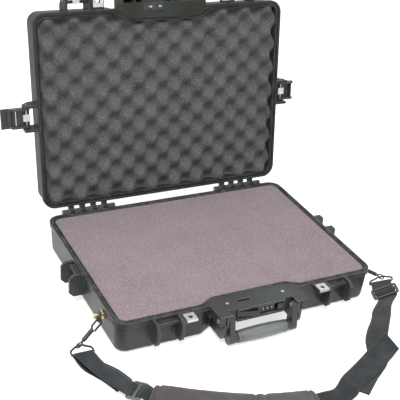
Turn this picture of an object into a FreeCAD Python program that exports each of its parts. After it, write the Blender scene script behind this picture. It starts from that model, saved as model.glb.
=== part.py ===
"""Hard carrying case for a laptop: ribbed base and lid, latches, handle, dial lock and shoulder strap.

The origin is the centre of the base's underside, +Z is up, -Y is the handle side and +Y the hinge side.
All lengths are millimetres. The lid and its latches are drawn closed and then turned open.
"""
import FreeCAD, Part
import math
import os
from types import SimpleNamespace

V = FreeCAD.Vector
X_AXIS = V(1, 0, 0)
Y_AXIS = V(0, 1, 0)
Z_AXIS = V(0, 0, 1)
SIDES = (-1, 1)

# Driving dimensions, one row of the sheet each
SIZES = {
    # Shells
    "rim_w": 507.0, "rim_d": 367.4, "corner_r": 24.0, "base_h": 65.4, "lid_h": 53.7, "rim_gap": 0.3,
    "rim_band": 9.0, "lip": 2.2, "draft_deg": 2.6, "rim_inner": 10.0, "floor_t": 4.0, "edge_r": 8.0,
    "jog_outer": 95.0, "jog_inner": 71.0, "jog_depth": 14.0, "jog_r": 14.0, "overrun": 1.0,
    "foot_h": 2.2, "foot_w": 9.0, "foot_d": 16.0, "foot_inset": 9.0, "panel_inset": 46.0, "panel_h": 1.6,
    "panel_r": 14.0, "bead_w": 7.0, "bead_pitch": 36.0, "under_inset": 100.0, "lid_open_deg": 98.5,
    "slack": 0.3, "touch": 0.003,
    # Seal between the shells
    "tongue_inset": 4.4, "tongue_w": 2.4, "tongue_h": 2.2, "groove_inset": 3.6, "groove_w": 4.3,
    "groove_depth": 5.4, "gasket_w": 3.6, "gasket_h": 2.6,
    # Hinges
    "hinge_out": 10.0, "hinge_drop": 2.0, "hinge_x": 165.0, "hinge_len": 107.0, "knuckle_r": 4.6,
    "hinge_pin_r": 1.9, "pin_fit": 0.05, "knuckle_pitch": 22.5, "lid_knuckle_w": 10.0, "knuckle_gap": 0.4,
    "leaf_h": 12.0,
    # Latch stations
    "latch_x": 167.7, "latch_y": 4.0, "rib_gap": 40.0, "rib_t": 4.5, "rib_out": 24.3, "rib_low": 20.0,
    "rib_chamfer": 9.0, "lid_rib_h": 34.0, "catch_out": 8.3, "catch_low": 51.0, "catch_h": 6.0,
    "pivot_out": 17.5, "pivot_up": 14.6, "pivot_r": 1.5,
    # Latch pieces
    "latch_w": 37.4, "cheek_t": 4.0, "web_t": 2.6, "web_out": 6.2, "link_up": 7.0, "link_down": 18.0,
    "lever_pin_down": 24.0, "lever_pin_r": 1.5, "lever_gap": 0.5, "lever_top": 1.4, "lever_pin_out": 3.0,
    "lever_len": 27.0, "lever_t": 3.4,
    "hook_down": 32.6, "hook_t": 3.2, "hook_in": 11.5, "cheek_in": 5.0, "lip_r": 2.2,
    "clip_w": 13.0, "clip_t": 1.1, "folded_deg": 118.0,
    # Padlock eyes
    "eye_x": 130.3, "eye_w": 19.4, "eye_out": 24.6, "eye_in": 5.0, "shelf_t": 6.0, "plate_t": 1.2,
    "plate_lip": 4.6, "shackle_r": 4.0, "shelf_margin": 1.6, "eye_hole_out": 15.5,
    # Handle housing
    "deck_out": 26.3, "deck_low": 40.0, "deck_half": 85.5, "ear_out": 38.4, "ear_in": 67.2,
    "ear_low": 48.0, "flange_x": 71.0, "flange_t": 5.0, "flange_low": 12.0, "flange_r": 18.0,
    "slit_x": 72.0, "slit_w": 3.0, "slit_d": 6.0, "well_in": 55.6, "well_deep": 16.0, "well_top": 63.8,
    "notch_in": 46.0, "notch_out": 62.9,
    # Handle
    "pivot_y_out": 31.3, "pivot_z": 55.0, "arm_in": 56.5, "arm_t": 10.0, "arm_r": 6.9, "hub_r": 10.4,
    "grip_fwd": 3.6, "grip_drop": 40.0, "grip_half": 48.5, "grip_r": 12.6, "grip_end_r": 11.2,
    "core_r": 7.4, "rivet_r": 2.4, "rivet_head_r": 4.2, "rivet_head_t": 0.9,
    # Lock
    "lock_half": 44.4, "lock_low": 44.6, "lock_h": 17.0, "lock_deep": 19.6, "lock_set": 3.4,
    "dial_pitch": 8.4, "dial_x": 13.8, "dial_r": 7.2, "dial_w": 5.6, "dial_gap": 0.4, "spindle_r": 1.2,
    "dial_z": 53.2, "dial_set": 6.6, "button_x": 38.4, "button_w": 11.4, "button_h": 11.4,
    "button_proud": 3.6, "button_run": 4.0, "wedge_w": 35.0, "wedge_h": 10.5, "wedge_proud": 11.0,
    "slot_x": 22.5, "slot_w": 25.0, "slot_d": 5.6, "slot_deep": 12.0, "slot_out": 2.5, "bolt_h": 4.0,
    "bolt_t": 3.4, "hasp_w": 38.0, "hasp_d": 13.0, "hasp_t": 1.6, "hook_reach": 9.4, "hook_w": 5.0,
    "hasp_hook_t": 2.6, "hook_nose_r": 1.6,
    "screw_x": 55.0, "screw_out": 2.3, "screw_r": 3.2, "screw_deep": 9.0,
    "screw_shank_r": 1.7, "screw_head_h": 2.2,
    # Foam
    "foam_gap": 0.6, "foam_pad_h": 12.0, "foam_top_drop": 1.0, "crate_drop": 0.8, "crate_amp": 9.0,
    "crate_x": 50.0, "crate_y": 48.0,
    # Strap
    "stud_y": 116.0, "stud_z": 43.0, "stud_gap": 0.4, "stud_flange_r": 8.0, "stud_flange_t": 2.0,
    "stud_neck_r": 3.4, "stud_len": 17.0, "stud_head_r": 5.2, "stud_head_t": 3.2,
    "ring_r": 8.5, "ring_lean": 0.25, "ring_wire": 1.6, "hook_wire": 1.8, "hook_half": 4.5,
    "hook_len": 18.0, "barrel_r": 3.9, "barrel_len": 24.0, "gate_up": 15.4, "gate_half": 2.2,
    "swivel_r": 2.2, "swivel_len": 5.0, "swivel_eye": 6.0, "swivel_wire": 1.3, "eye_play": 2.4,
    "loop_wire": 1.8, "loop_half": 21.8, "loop_top": 5.0, "loop_h": 17.0, "loop_shoulder": 8.0,
    "loop_foot_r": 2.6, "web_thick": 1.5, "web_w": 38.0, "tail_drop": 6.0,
    "glide_w": 50.0, "glide_len": 24.0, "glide_bar": 4.0, "glide_t": 2.4, "pad_low": 2.2, "pad_t": 8.0,
}

doc = FreeCAD.newDocument("laptop_hard_case")
sheet = doc.addObject("Spreadsheet::Sheet", "Sizes")
for row, (alias, value) in enumerate(SIZES.items(), start=1):
    sheet.set("A%d" % row, alias)
    sheet.set("B%d" % row, str(value))
    sheet.setAlias("B%d" % row, alias)
doc.recompute()
c = SimpleNamespace(**{alias: float(sheet.get(alias)) for alias in SIZES})

# Places worked out from the driving dimensions
half_w = c.rim_w / 2
half_d = c.rim_d / 2
front = -half_d
lid_low = c.base_h + c.rim_gap
lid_top = lid_low + c.lid_h
hinge_y = half_d + c.hinge_out
hinge_z = c.base_h - c.hinge_drop
latch_z = lid_low + c.pivot_up
rib_pitch = c.rib_gap + c.rib_t
handle_y = front - c.pivot_y_out
grip_y = handle_y - c.grip_fwd
grip_z = c.pivot_z - c.grip_drop
deck_y = front - c.deck_out
lock_y = deck_y + c.lock_set
dial_y = lock_y + c.dial_set
slot_y = front - c.slot_out
lid_turn = FreeCAD.Placement(V(), FreeCAD.Rotation(X_AXIS, -c.lid_open_deg), V(0, hinge_y, hinge_z))


def outline(corners):
    """Lines and tangent arcs through (x, y, radius) corners, as one closed outline."""
    starts, ends, arcs = [], [], []
    for here, before, after in zip(corners, corners[-1:] + corners[:-1], corners[1:] + corners[:1]):
        point = V(here[0], here[1], 0)
        back = (V(before[0], before[1], 0) - point).normalize()
        ahead = (V(after[0], after[1], 0) - point).normalize()
        half = back.getAngle(ahead) / 2
        radius = here[2]
        starts.append(point + back * (radius / math.tan(half)))
        ends.append(point + ahead * (radius / math.tan(half)))
        if radius > 0:
            inward = (back + ahead).normalize()
            middle = point + inward * (radius / math.sin(half) - radius)
            arcs.append(Part.Arc(starts[-1], middle, ends[-1]))
    joins = zip(ends, starts[1:] + starts[:1])
    lines = [Part.LineSegment(end, start) for end, start in joins if (end - start).Length > c.touch]
    return lines + arcs


def inset(corners, depth):
    """The same counter-clockwise outline, moved inwards by depth."""
    moved = []
    for here, before, after in zip(corners, corners[-1:] + corners[:-1], corners[1:] + corners[:1]):
        come = V(here[0] - before[0], here[1] - before[1], 0).normalize()
        leave = V(after[0] - here[0], after[1] - here[1], 0).normalize()
        come_in = Z_AXIS.cross(come)
        leave_in = Z_AXIS.cross(leave)
        shift = (come_in + leave_in) * (depth / (1 + come_in.dot(leave_in)))
        turn = 1 if come.cross(leave).z > 0 else -1
        moved.append((here[0] + shift.x, here[1] + shift.y, max(here[2] - turn * depth, 0)))
    return moved


def rectangle(x_low, x_high, y_low, y_high, radius=0):
    """Four corners of a rectangle, counter-clockwise."""
    spots = ((x_low, y_low), (x_high, y_low), (x_high, y_high), (x_low, y_high))
    return [(x, y, radius) for x, y in spots]


def circle(x, y, radius):
    """One circle as sketch geometry."""
    return [Part.Circle(V(x, y, 0), Z_AXIS, radius)]


def wire_of(geometry, lift=0):
    """A wire from outline geometry, lifted along Z."""
    wire = Part.Wire(Part.__sortEdges__([piece.toShape() for piece in geometry]))
    wire.translate(V(0, 0, lift))
    return wire


def prism(geometry, low, high):
    """A straight solid on an outline between two heights."""
    return Part.Face(wire_of(geometry, low)).extrude(V(0, 0, high - low))


RIM = rectangle(-half_w, half_w, -half_d, half_d, c.corner_r)
JOGGED = [
    (-half_w, front, c.corner_r), (-c.jog_outer, front, c.jog_r),
    (-c.jog_inner, front + c.jog_depth, c.jog_r), (c.jog_inner, front + c.jog_depth, c.jog_r),
    (c.jog_outer, front, c.jog_r), (half_w, front, c.corner_r),
    (half_w, half_d, c.corner_r), (-half_w, half_d, c.corner_r),
]


class Piece:
    """A PartDesign body with short calls for its sketches and features."""

    def __init__(self, label):
        self.body = doc.addObject("PartDesign::Body", label)
        self.body.Label = label

    def sketch(self, role, at, geometry):
        """Sketch on the body's own origin plane, moved along the plane's normal by an expression."""
        plane = next(item for item in self.body.Origin.OriginFeatures if item.Role == role)
        drawn = self.body.newObject("Sketcher::SketchObject", self.body.Label + "_sketch")
        drawn.AttachmentSupport = [(plane, "")]
        drawn.MapMode = "FlatFace"
        drawn.setExpression("AttachmentOffset.Base.z", at)
        drawn.addGeometry(geometry, False)
        return drawn

    def feature(self, kind, grows, **settings):
        """Add a feature, recompute the body and check that it added or took material."""
        before = self.body.Shape.Volume if self.body.Tip else 0
        made = self.body.newObject("PartDesign::" + kind, self.body.Label + "_" + kind.lower())
        expressions = settings.pop("expressions", {})
        for name, value in settings.items():
            setattr(made, name, value)
        for name, value in expressions.items():
            made.setExpression(name, value)
        self.body.Tip = made
        doc.recompute()
        change = self.body.Shape.Volume - before
        if (change > 0) != grows or change == 0:
            raise RuntimeError("%s %s changed the volume by %.3f" % (self.body.Label, kind, change))
        return made

    def pad(self, role, at, geometry, length, **settings):
        """Pad an outline along the plane's normal."""
        profile = self.sketch(role, at, geometry)
        return self.feature("Pad", True, Profile=profile, expressions={"Length": length}, **settings)

    def pocket(self, role, at, geometry, length, **settings):
        """Cut an outline against the plane's normal."""
        profile = self.sketch(role, at, geometry)
        return self.feature("Pocket", False, Profile=profile, expressions={"Length": length}, **settings)

    def mirror(self, *features):
        """Mirror features to the other side of the YZ plane."""
        plane = next(item for item in self.body.Origin.OriginFeatures if item.Role == "YZ_Plane")
        before = self.body.Shape.Volume
        made = self.body.newObject("PartDesign::Mirrored", self.body.Label + "_mirrored")
        made.Originals = list(features)
        made.MirrorPlane = (plane, [""])
        self.body.Tip = made
        doc.recompute()
        if abs(self.body.Shape.Volume - before) < c.slack:
            raise RuntimeError("%s mirror changed nothing" % self.body.Label)
        return made

    def round_off(self, radius, wanted):
        """Fillet the edges that a test picks."""
        tip = self.body.Tip
        names = ["Edge%d" % (i + 1) for i, edge in enumerate(tip.Shape.Edges) if wanted(edge)]
        made = self.body.newObject("PartDesign::Fillet", self.body.Label + "_fillet")
        made.Base = (tip, names)
        made.setExpression("Radius", radius)
        self.body.Tip = made
        doc.recompute()
        return made

    def place(self, placement):
        """Put the finished body where it belongs."""
        self.body.Placement = placement
        return self.body


def shaped(label, shape, placement=None):
    """A Part::Feature that holds a shape made by Part's own functions."""
    made = doc.addObject("Part::Feature", label)
    made.Label = label
    made.Shape = shape
    if placement:
        made.Placement = placement
    return made


def rod(x_low, x_high, y, z, radius):
    """A round bar along X."""
    return Part.makeCylinder(radius, x_high - x_low, V(x_low, y, z), X_AXIS)


def frame(origin, x_axis, z_axis):
    """Placement whose local Z follows z_axis and whose local X lies as near x_axis as it can."""
    z_unit = V(z_axis).normalize()
    x_unit = (x_axis - z_unit * x_axis.dot(z_unit)).normalize()
    y_unit = z_unit.cross(x_unit)
    rotation = FreeCAD.Rotation(x_unit, y_unit, z_unit, "ZXY")
    return FreeCAD.Placement(origin, rotation)


def both(x_low, x_high, y_low, y_high):
    """Outlines of a rectangle and of its twin across the YZ plane."""
    twin = outline(rectangle(-x_high, -x_low, y_low, y_high))
    return outline(rectangle(x_low, x_high, y_low, y_high)) + twin


STATIONS = {
    "front_left": SimpleNamespace(spot=V(-c.latch_x, front - c.pivot_out, latch_z), turn=0),
    "front_right": SimpleNamespace(spot=V(c.latch_x, front - c.pivot_out, latch_z), turn=0),
    "left": SimpleNamespace(spot=V(-half_w - c.pivot_out, c.latch_y, latch_z), turn=-90),
    "right": SimpleNamespace(spot=V(half_w + c.pivot_out, c.latch_y, latch_z), turn=90),
}


def latch_ribs(piece, low, high, top_cut, low_cut):
    """The pairs of ribs that stand either side of each latch, with their outer corners cut back."""
    inner = c.latch_x - rib_pitch / 2
    outer = c.latch_x + rib_pitch / 2
    uprights = []
    for x in (inner, outer):
        uprights += both(x - c.rib_t / 2, x + c.rib_t / 2, low, high)
    piece.pad("XZ_Plane", "Sizes.rim_d / 2 - Sizes.edge_r", uprights, "Sizes.edge_r + Sizes.rib_out")
    uprights = []
    for y in (c.latch_y - rib_pitch / 2, c.latch_y + rib_pitch / 2):
        uprights += outline(rectangle(y - c.rib_t / 2, y + c.rib_t / 2, low, high))
    piece.pad("YZ_Plane", "0", uprights, "Sizes.rim_w + 2 * Sizes.rib_out", SideType="Symmetric")
    over = c.overrun
    cuts = [(c.rib_out, high, top_cut, 1)]
    if low_cut > 0:
        cuts.append((c.rib_out, low, low_cut, -1))
    fronts = []
    sides = []
    for out, up, size, turn in cuts:
        rise = up + turn * over
        tips = [(out + over, up - turn * size), (out + over, rise), (out - size, rise)]
        fronts += outline([(front - reach, z, 0) for reach, z in tips])
        sides += outline([(half_w + reach, z, 0) for reach, z in tips])
        sides += outline([(-half_w - reach, z, 0) for reach, z in tips])
    piece.pocket("YZ_Plane", "0", fronts, "Sizes.rim_w", SideType="Symmetric")
    piece.pocket("XZ_Plane", "0", sides, "Sizes.rim_d", SideType="Symmetric")


def hinge_leaf(piece, up):
    """The whole knuckle line of both hinges with its leaf: up is 1 for the lid's leaf, -1 for the base's."""
    wall = half_d - c.lip - c.overrun
    near = hinge_y - c.knuckle_r
    far = hinge_y + c.knuckle_r
    nose = c.knuckle_r
    if up > 0:
        side = [(wall, lid_low, 0), (near, lid_low, 0), (near, hinge_z - nose, nose),
                (far, hinge_z - nose, nose), (far, hinge_z + nose, nose), (wall, lid_low + c.leaf_h, 0)]
    else:
        side = [(wall, hinge_z - c.leaf_h, 0), (far, hinge_z - nose, nose), (far, hinge_z + nose, nose),
                (near, hinge_z + nose, nose), (near, hinge_z, 0), (wall, hinge_z, 0)]
    piece.pad("YZ_Plane", "0", outline(side), "2 * Sizes.hinge_x + Sizes.hinge_len", SideType="Symmetric")


def cut_knuckles(piece, spans):
    """Cut the knuckle line away over spans of |x|, given as (low, high) pairs, and in the middle."""
    deep = hinge_y + c.knuckle_r + c.overrun
    gaps = outline(rectangle(-spans[0][0], spans[0][0], half_d, deep))
    for low, high in spans[1:]:
        gaps += both(low, high, half_d, deep)
    piece.pocket("XY_Plane", "2 * Sizes.base_h", gaps, "2 * Sizes.base_h")


def bore_knuckles(piece):
    """Bore both hinges for their pins, right through."""
    hole = circle(hinge_y, hinge_z, c.hinge_pin_r + c.pin_fit)
    piece.pocket("YZ_Plane", "0", hole, "Sizes.rim_w", SideType="Symmetric")


def padlock_shelf(piece, low):
    """Shelves that carry the padlock plates, from the inner latch ribs towards the middle."""
    inner = c.eye_x - c.eye_w / 2 - c.shelf_margin
    outer = c.latch_x - rib_pitch / 2
    piece.pad("XY_Plane", low, both(inner, outer, front - c.eye_out + c.plate_t, front + c.lip + c.overrun),
              "Sizes.shelf_t")


def make_base_shell():
    """Base shell: drafted tub with a jogged front, rim, ribs, catches, deck, ears and hinge leaves."""
    piece = Piece("base_shell")
    hull_top = c.base_h - c.rim_band
    draft_run = (hull_top - c.foot_h) * math.tan(math.radians(c.draft_deg))
    floor = inset(JOGGED, c.lip + draft_run)
    piece.pad("XY_Plane", "Sizes.foot_h", outline(floor), "Sizes.base_h - Sizes.rim_band - Sizes.foot_h",
              TaperAngle=c.draft_deg)
    piece.round_off("Sizes.edge_r", lambda edge: edge.BoundBox.ZMax < c.foot_h + c.slack)
    piece.pad("XY_Plane", "Sizes.base_h - Sizes.rim_band", outline(RIM), "Sizes.rim_band")
    latch_ribs(piece, c.rib_low, c.base_h - c.plate_t, c.rib_chamfer, c.rib_chamfer)
    catch = both(c.latch_x - c.rib_gap / 2, c.latch_x + c.rib_gap / 2, c.catch_low, c.catch_low + c.catch_h)
    piece.pad("XZ_Plane", "Sizes.rim_d / 2 - Sizes.edge_r", catch, "Sizes.edge_r + Sizes.catch_out")
    catch = outline(rectangle(c.latch_y - c.rib_gap / 2, c.latch_y + c.rib_gap / 2,
                              c.catch_low, c.catch_low + c.catch_h))
    piece.pad("YZ_Plane", "0", catch, "Sizes.rim_w + 2 * Sizes.catch_out", SideType="Symmetric")
    hinge_leaf(piece, -1)
    clear = c.lid_knuckle_w / 2 + c.knuckle_gap
    spans = [(c.hinge_x - c.hinge_len / 2, 0)]
    spans += [(c.hinge_x + k * c.knuckle_pitch / 2 - clear, c.hinge_x + k * c.knuckle_pitch / 2 + clear)
              for k in (-3, -1, 1, 3)]
    cut_knuckles(piece, spans)
    bore_knuckles(piece)
    add_deck(piece)
    cut_deck(piece)
    padlock_shelf(piece, "Sizes.base_h - Sizes.plate_t - Sizes.shelf_t")
    shackle_holes(piece, "Sizes.base_h + Sizes.overrun", "Sizes.base_h - Sizes.deck_low", False)
    cavity = outline(inset(JOGGED, c.rim_inner))
    piece.pocket("XY_Plane", "Sizes.base_h", cavity, "Sizes.base_h - Sizes.foot_h - Sizes.floor_t")
    tongue_out = outline(inset(JOGGED, c.tongue_inset))
    tongue_in = outline(inset(JOGGED, c.tongue_inset + c.tongue_w))
    piece.pad("XY_Plane", "Sizes.base_h", tongue_out + tongue_in, "Sizes.tongue_h")
    add_feet(piece)
    return piece


def add_deck(piece):
    """Deck in front of the rim, with a bracket and a rounded ear at each end for the handle."""
    back = front + c.jog_depth + c.lip + c.floor_t
    deck = [(-c.deck_half, back, 0), (-c.deck_half, front - c.ear_out, 0),
            (-c.notch_out, front - c.ear_out, 0), (-c.notch_out, deck_y, 0)]
    deck = deck + [(-x, y, radius) for x, y, radius in reversed(deck)]
    piece.pad("XY_Plane", "Sizes.deck_low", outline(deck), "Sizes.base_h - Sizes.deck_low")
    ears = both(c.flange_x, c.flange_x + c.flange_t, c.flange_low, c.ear_low)
    piece.pad("XZ_Plane", "Sizes.rim_d / 2 - Sizes.jog_depth - Sizes.overrun", ears,
              "Sizes.jog_depth + Sizes.ear_out + Sizes.overrun")
    tip = front - c.ear_out
    piece.round_off("Sizes.flange_r", lambda edge: edge.BoundBox.ZMax < c.flange_low + c.slack
                    and edge.BoundBox.YMax < tip + c.slack)


def cut_deck(piece):
    """Cut the arm wells, the lock recess, the hasp slot, the bolt channel and the screw holes."""
    face = "Sizes.rim_d / 2 + Sizes.ear_out + Sizes.overrun"
    wells = both(c.well_in, c.ear_in, c.deck_low - c.overrun, c.well_top)
    piece.pocket("XZ_Plane", face, wells, "Sizes.well_deep + Sizes.overrun")
    back = front - c.ear_out + c.well_deep
    notches = both(c.notch_in, c.notch_out, front - c.ear_out - c.overrun, back)
    piece.pocket("XY_Plane", "Sizes.base_h + Sizes.overrun", notches,
                 "Sizes.base_h + 2 * Sizes.overrun - Sizes.deck_low")
    under = both(c.flange_x + c.flange_t, c.deck_half + c.overrun, c.deck_low - c.overrun, c.ear_low)
    piece.pocket("XZ_Plane", face, under, "Sizes.ear_out")
    slits = both(c.slit_x, c.slit_x + c.slit_w, c.ear_low - c.overrun, c.well_top)
    piece.pocket("XZ_Plane", face, slits, "Sizes.slit_d + Sizes.overrun")
    recess = outline(rectangle(-c.lock_half, c.lock_half, c.lock_low, c.lock_low + c.lock_h))
    piece.pocket("XZ_Plane", "Sizes.rim_d / 2 + Sizes.deck_out + Sizes.overrun", recess,
                 "Sizes.lock_deep + Sizes.overrun")
    channel = outline(rectangle(-c.lock_half, c.lock_half, c.dial_z - c.bolt_h, c.dial_z + c.bolt_h))
    piece.pocket("XZ_Plane", "Sizes.rim_d / 2 + Sizes.deck_out - Sizes.lock_deep + Sizes.overrun", channel,
                 "Sizes.bolt_t + 2 * Sizes.overrun")
    slot = outline(rectangle(-c.slot_x - c.slot_w / 2, -c.slot_x + c.slot_w / 2,
                             slot_y - c.slot_d / 2, slot_y + c.slot_d / 2))
    piece.pocket("XY_Plane", "Sizes.base_h + Sizes.overrun", slot, "Sizes.slot_deep + Sizes.overrun")
    screw_y = front - c.screw_out
    holes = circle(c.screw_x, screw_y, c.screw_r) + circle(-c.screw_x, screw_y, c.screw_r)
    piece.pocket("XY_Plane", "Sizes.base_h", holes, "Sizes.screw_head_h")
    shanks = circle(c.screw_x, screw_y, c.screw_shank_r) + circle(-c.screw_x, screw_y, c.screw_shank_r)
    piece.pocket("XY_Plane", "Sizes.base_h - Sizes.screw_head_h", shanks, "Sizes.screw_deep")
    pivots = circle(handle_y, c.pivot_z, c.rivet_r + c.pin_fit)
    piece.pocket("YZ_Plane", "0", pivots, "2 * Sizes.deck_half + Sizes.overrun", SideType="Symmetric")


def shackle_holes(piece, at, depth, from_below):
    """Drill the padlock eyes through their shelves."""
    y = front - c.eye_hole_out
    holes = circle(c.eye_x, y, c.shackle_r) + circle(-c.eye_x, y, c.shackle_r)
    piece.pocket("XY_Plane", at, holes, depth, Reversed=from_below)


def add_feet(piece):
    """Feet in pairs near the corners of the underside, level with the flat panel in its middle."""
    run = c.foot_inset + c.lip
    feet = []
    for x in (c.latch_x - rib_pitch / 2, c.latch_x + rib_pitch / 2):
        for y in (front + run, half_d - run - c.foot_d):
            feet += both(x - c.foot_w / 2, x + c.foot_w / 2, y, y + c.foot_d)
    panel = inset(RIM, c.under_inset)
    feet += outline([(x, y, c.panel_r) for x, y, radius in panel])
    piece.pad("XY_Plane", "0", feet, "Sizes.foot_h + Sizes.slack")


def make_lid_shell():
    """Lid shell: drafted cover with the same jogged rim, grooved for the gasket."""
    piece = Piece("lid_shell")
    piece.pad("XY_Plane", "Sizes.base_h + Sizes.rim_gap", outline(RIM), "Sizes.rim_band")
    hull = outline(inset(JOGGED, c.lip))
    piece.pad("XY_Plane", "Sizes.base_h + Sizes.rim_gap + Sizes.rim_band", hull,
              "Sizes.lid_h - Sizes.rim_band", TaperAngle=-c.draft_deg)
    piece.round_off("Sizes.edge_r", lambda edge: edge.BoundBox.ZMin > lid_top - c.slack)
    latch_ribs(piece, lid_low, lid_low + c.lid_rib_h, c.rib_chamfer + c.edge_r, 0)
    hinge_leaf(piece, 1)
    half = c.lid_knuckle_w / 2
    edges = [c.hinge_x + k * c.knuckle_pitch / 2 for k in (-3, -1, 1, 3)]
    spans = [(edges[0] - half, 0)]
    spans += [(low + half, high - half) for low, high in zip(edges, edges[1:])]
    spans.append((edges[-1] + half, c.hinge_x + c.hinge_len / 2 + c.overrun))
    cut_knuckles(piece, spans)
    bore_knuckles(piece)
    back = front + c.jog_depth + c.lip + c.floor_t
    brow = outline(rectangle(-c.deck_half, c.deck_half, deck_y, back))
    piece.pad("XY_Plane", "Sizes.base_h + Sizes.rim_gap", brow, "Sizes.ear_out")
    cut_brow(piece)
    padlock_shelf(piece, "Sizes.base_h + Sizes.rim_gap + Sizes.plate_t")
    shackle_holes(piece, "Sizes.base_h", "Sizes.shelf_t + 2 * Sizes.plate_t + Sizes.overrun", True)
    pivots = circle(front - c.pivot_out, latch_z, c.pivot_r)
    piece.pocket("YZ_Plane", "0", pivots, "Sizes.rim_w", SideType="Symmetric")
    pivots = circle(half_w + c.pivot_out, latch_z, c.pivot_r)
    pivots += circle(-half_w - c.pivot_out, latch_z, c.pivot_r)
    piece.pocket("XZ_Plane", "0", pivots, "Sizes.rim_d / 2", SideType="Symmetric")
    cavity = outline(inset(JOGGED, c.rim_inner))
    piece.pocket("XY_Plane", "Sizes.base_h + Sizes.rim_gap", cavity,
                 "Sizes.lid_h - Sizes.floor_t", Reversed=True)
    groove_out = outline(inset(JOGGED, c.groove_inset))
    groove_in = outline(inset(JOGGED, c.groove_inset + c.groove_w))
    piece.pocket("XY_Plane", "Sizes.base_h + Sizes.rim_gap", groove_out + groove_in,
                 "Sizes.groove_depth", Reversed=True)
    raise_panel(piece)
    return piece


def cut_brow(piece):
    """Hollow the lid's front brow into pockets, with webs between them and a seat for the hasp plate."""
    y_low = deck_y + c.floor_t
    y_high = front + c.jog_depth - c.floor_t
    edge_shares = (-0.96, -0.74, -0.68, -0.53, 0.00, 0.15, 0.21, 0.63, 0.69, 0.96)
    pockets = []
    for low, high in zip(edge_shares[::2], edge_shares[1::2]):
        pockets += outline(rectangle(low * c.deck_half, high * c.deck_half, y_low, slot_y - c.hasp_d / 2))
    piece.pocket("XY_Plane", "Sizes.base_h + Sizes.rim_gap", pockets,
                 "Sizes.ear_out - 2 * Sizes.floor_t", Reversed=True)
    seat = outline(rectangle(-c.slot_x - c.hasp_w / 2, -c.slot_x + c.hasp_w / 2,
                             slot_y - c.hasp_d / 2, slot_y + c.hasp_d / 2))
    piece.pocket("XY_Plane", "Sizes.base_h + Sizes.rim_gap", seat, "Sizes.hasp_t", Reversed=True)


def raise_panel(piece):
    """Raised panel with long beads on the lid's outside."""
    panel = inset(RIM, c.panel_inset)
    panel = outline([(x, y, c.panel_r) for x, y, radius in panel])
    piece.pad("XY_Plane", "Sizes.base_h + Sizes.rim_gap + Sizes.lid_h", panel, "Sizes.panel_h")
    reach = half_w - c.panel_inset - c.panel_r
    beads = []
    for index in (-1, 0, 1):
        y = index * c.bead_pitch
        end_r = c.bead_w / 2 - c.slack
        beads += outline(rectangle(-reach, reach, y - c.bead_w / 2, y + c.bead_w / 2, end_r))
    piece.pocket("XY_Plane", "Sizes.base_h + Sizes.rim_gap + Sizes.lid_h + Sizes.panel_h", beads,
                 "Sizes.panel_h")


def make_hinge_pins():
    """One steel pin in each hinge."""
    pins = []
    for side in SIDES:
        middle = side * c.hinge_x
        pins.append(rod(middle - c.hinge_len / 2, middle + c.hinge_len / 2, hinge_y, hinge_z, c.hinge_pin_r))
    shaped("hinge_pins", Part.makeCompound(pins))


def make_gasket():
    """Seal ring in the lid's groove."""
    side_gap = (c.groove_w - c.gasket_w) / 2
    low = lid_low + c.groove_depth - c.gasket_h
    high = lid_low + c.groove_depth
    outer = prism(outline(inset(JOGGED, c.groove_inset + side_gap)), low, high)
    inner = prism(outline(inset(JOGGED, c.groove_inset + side_gap + c.gasket_w)), low, high)
    shaped("lid_gasket", outer.cut(inner), lid_turn)


def padlock_plates(seat_z, down):
    """Bent steel plates round a pair of padlock eyes. down is 1 where the lip hangs below the plate."""
    plates = []
    for side in SIDES:
        x_low = side * c.eye_x - c.eye_w / 2
        y_out = front - c.eye_out
        low = min(seat_z, seat_z + down * c.plate_t)
        flat = Part.makeBox(c.eye_w, c.eye_out - c.eye_in, c.plate_t, V(x_low, y_out, low))
        lip_low = seat_z + down * c.plate_t - c.plate_lip if down > 0 else seat_z - c.plate_t
        lip = Part.makeBox(c.eye_w, c.plate_t, c.plate_lip, V(x_low, y_out, lip_low))
        spot = V(side * c.eye_x, front - c.eye_hole_out, low - c.plate_t)
        hole = Part.makeCylinder(c.shackle_r, c.plate_lip, spot, Z_AXIS)
        plates.append(flat.fuse(lip).removeSplitter().cut(hole))
    return Part.makeCompound(plates)


def make_padlock_plates():
    """Plates on the base's shelves and under the lid's shelves."""
    shaped("base_padlock_plates", padlock_plates(c.base_h - c.plate_t, 1))
    shaped("lid_padlock_plates", padlock_plates(lid_low + c.plate_t, -1), lid_turn)


def make_foam():
    """Flat foam in the base, in two layers, and the egg-crate foam in the lid."""
    low = c.foot_h + c.floor_t
    split = low + c.foam_pad_h
    top = c.base_h - c.foam_top_drop
    pocket = outline(inset(JOGGED, c.rim_inner + c.foam_gap))
    shaped("base_foam_pad", prism(pocket, low, split))
    shaped("base_foam_block", prism(pocket, split, top))
    shaped("lid_foam", egg_crate(), lid_turn)


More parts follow.
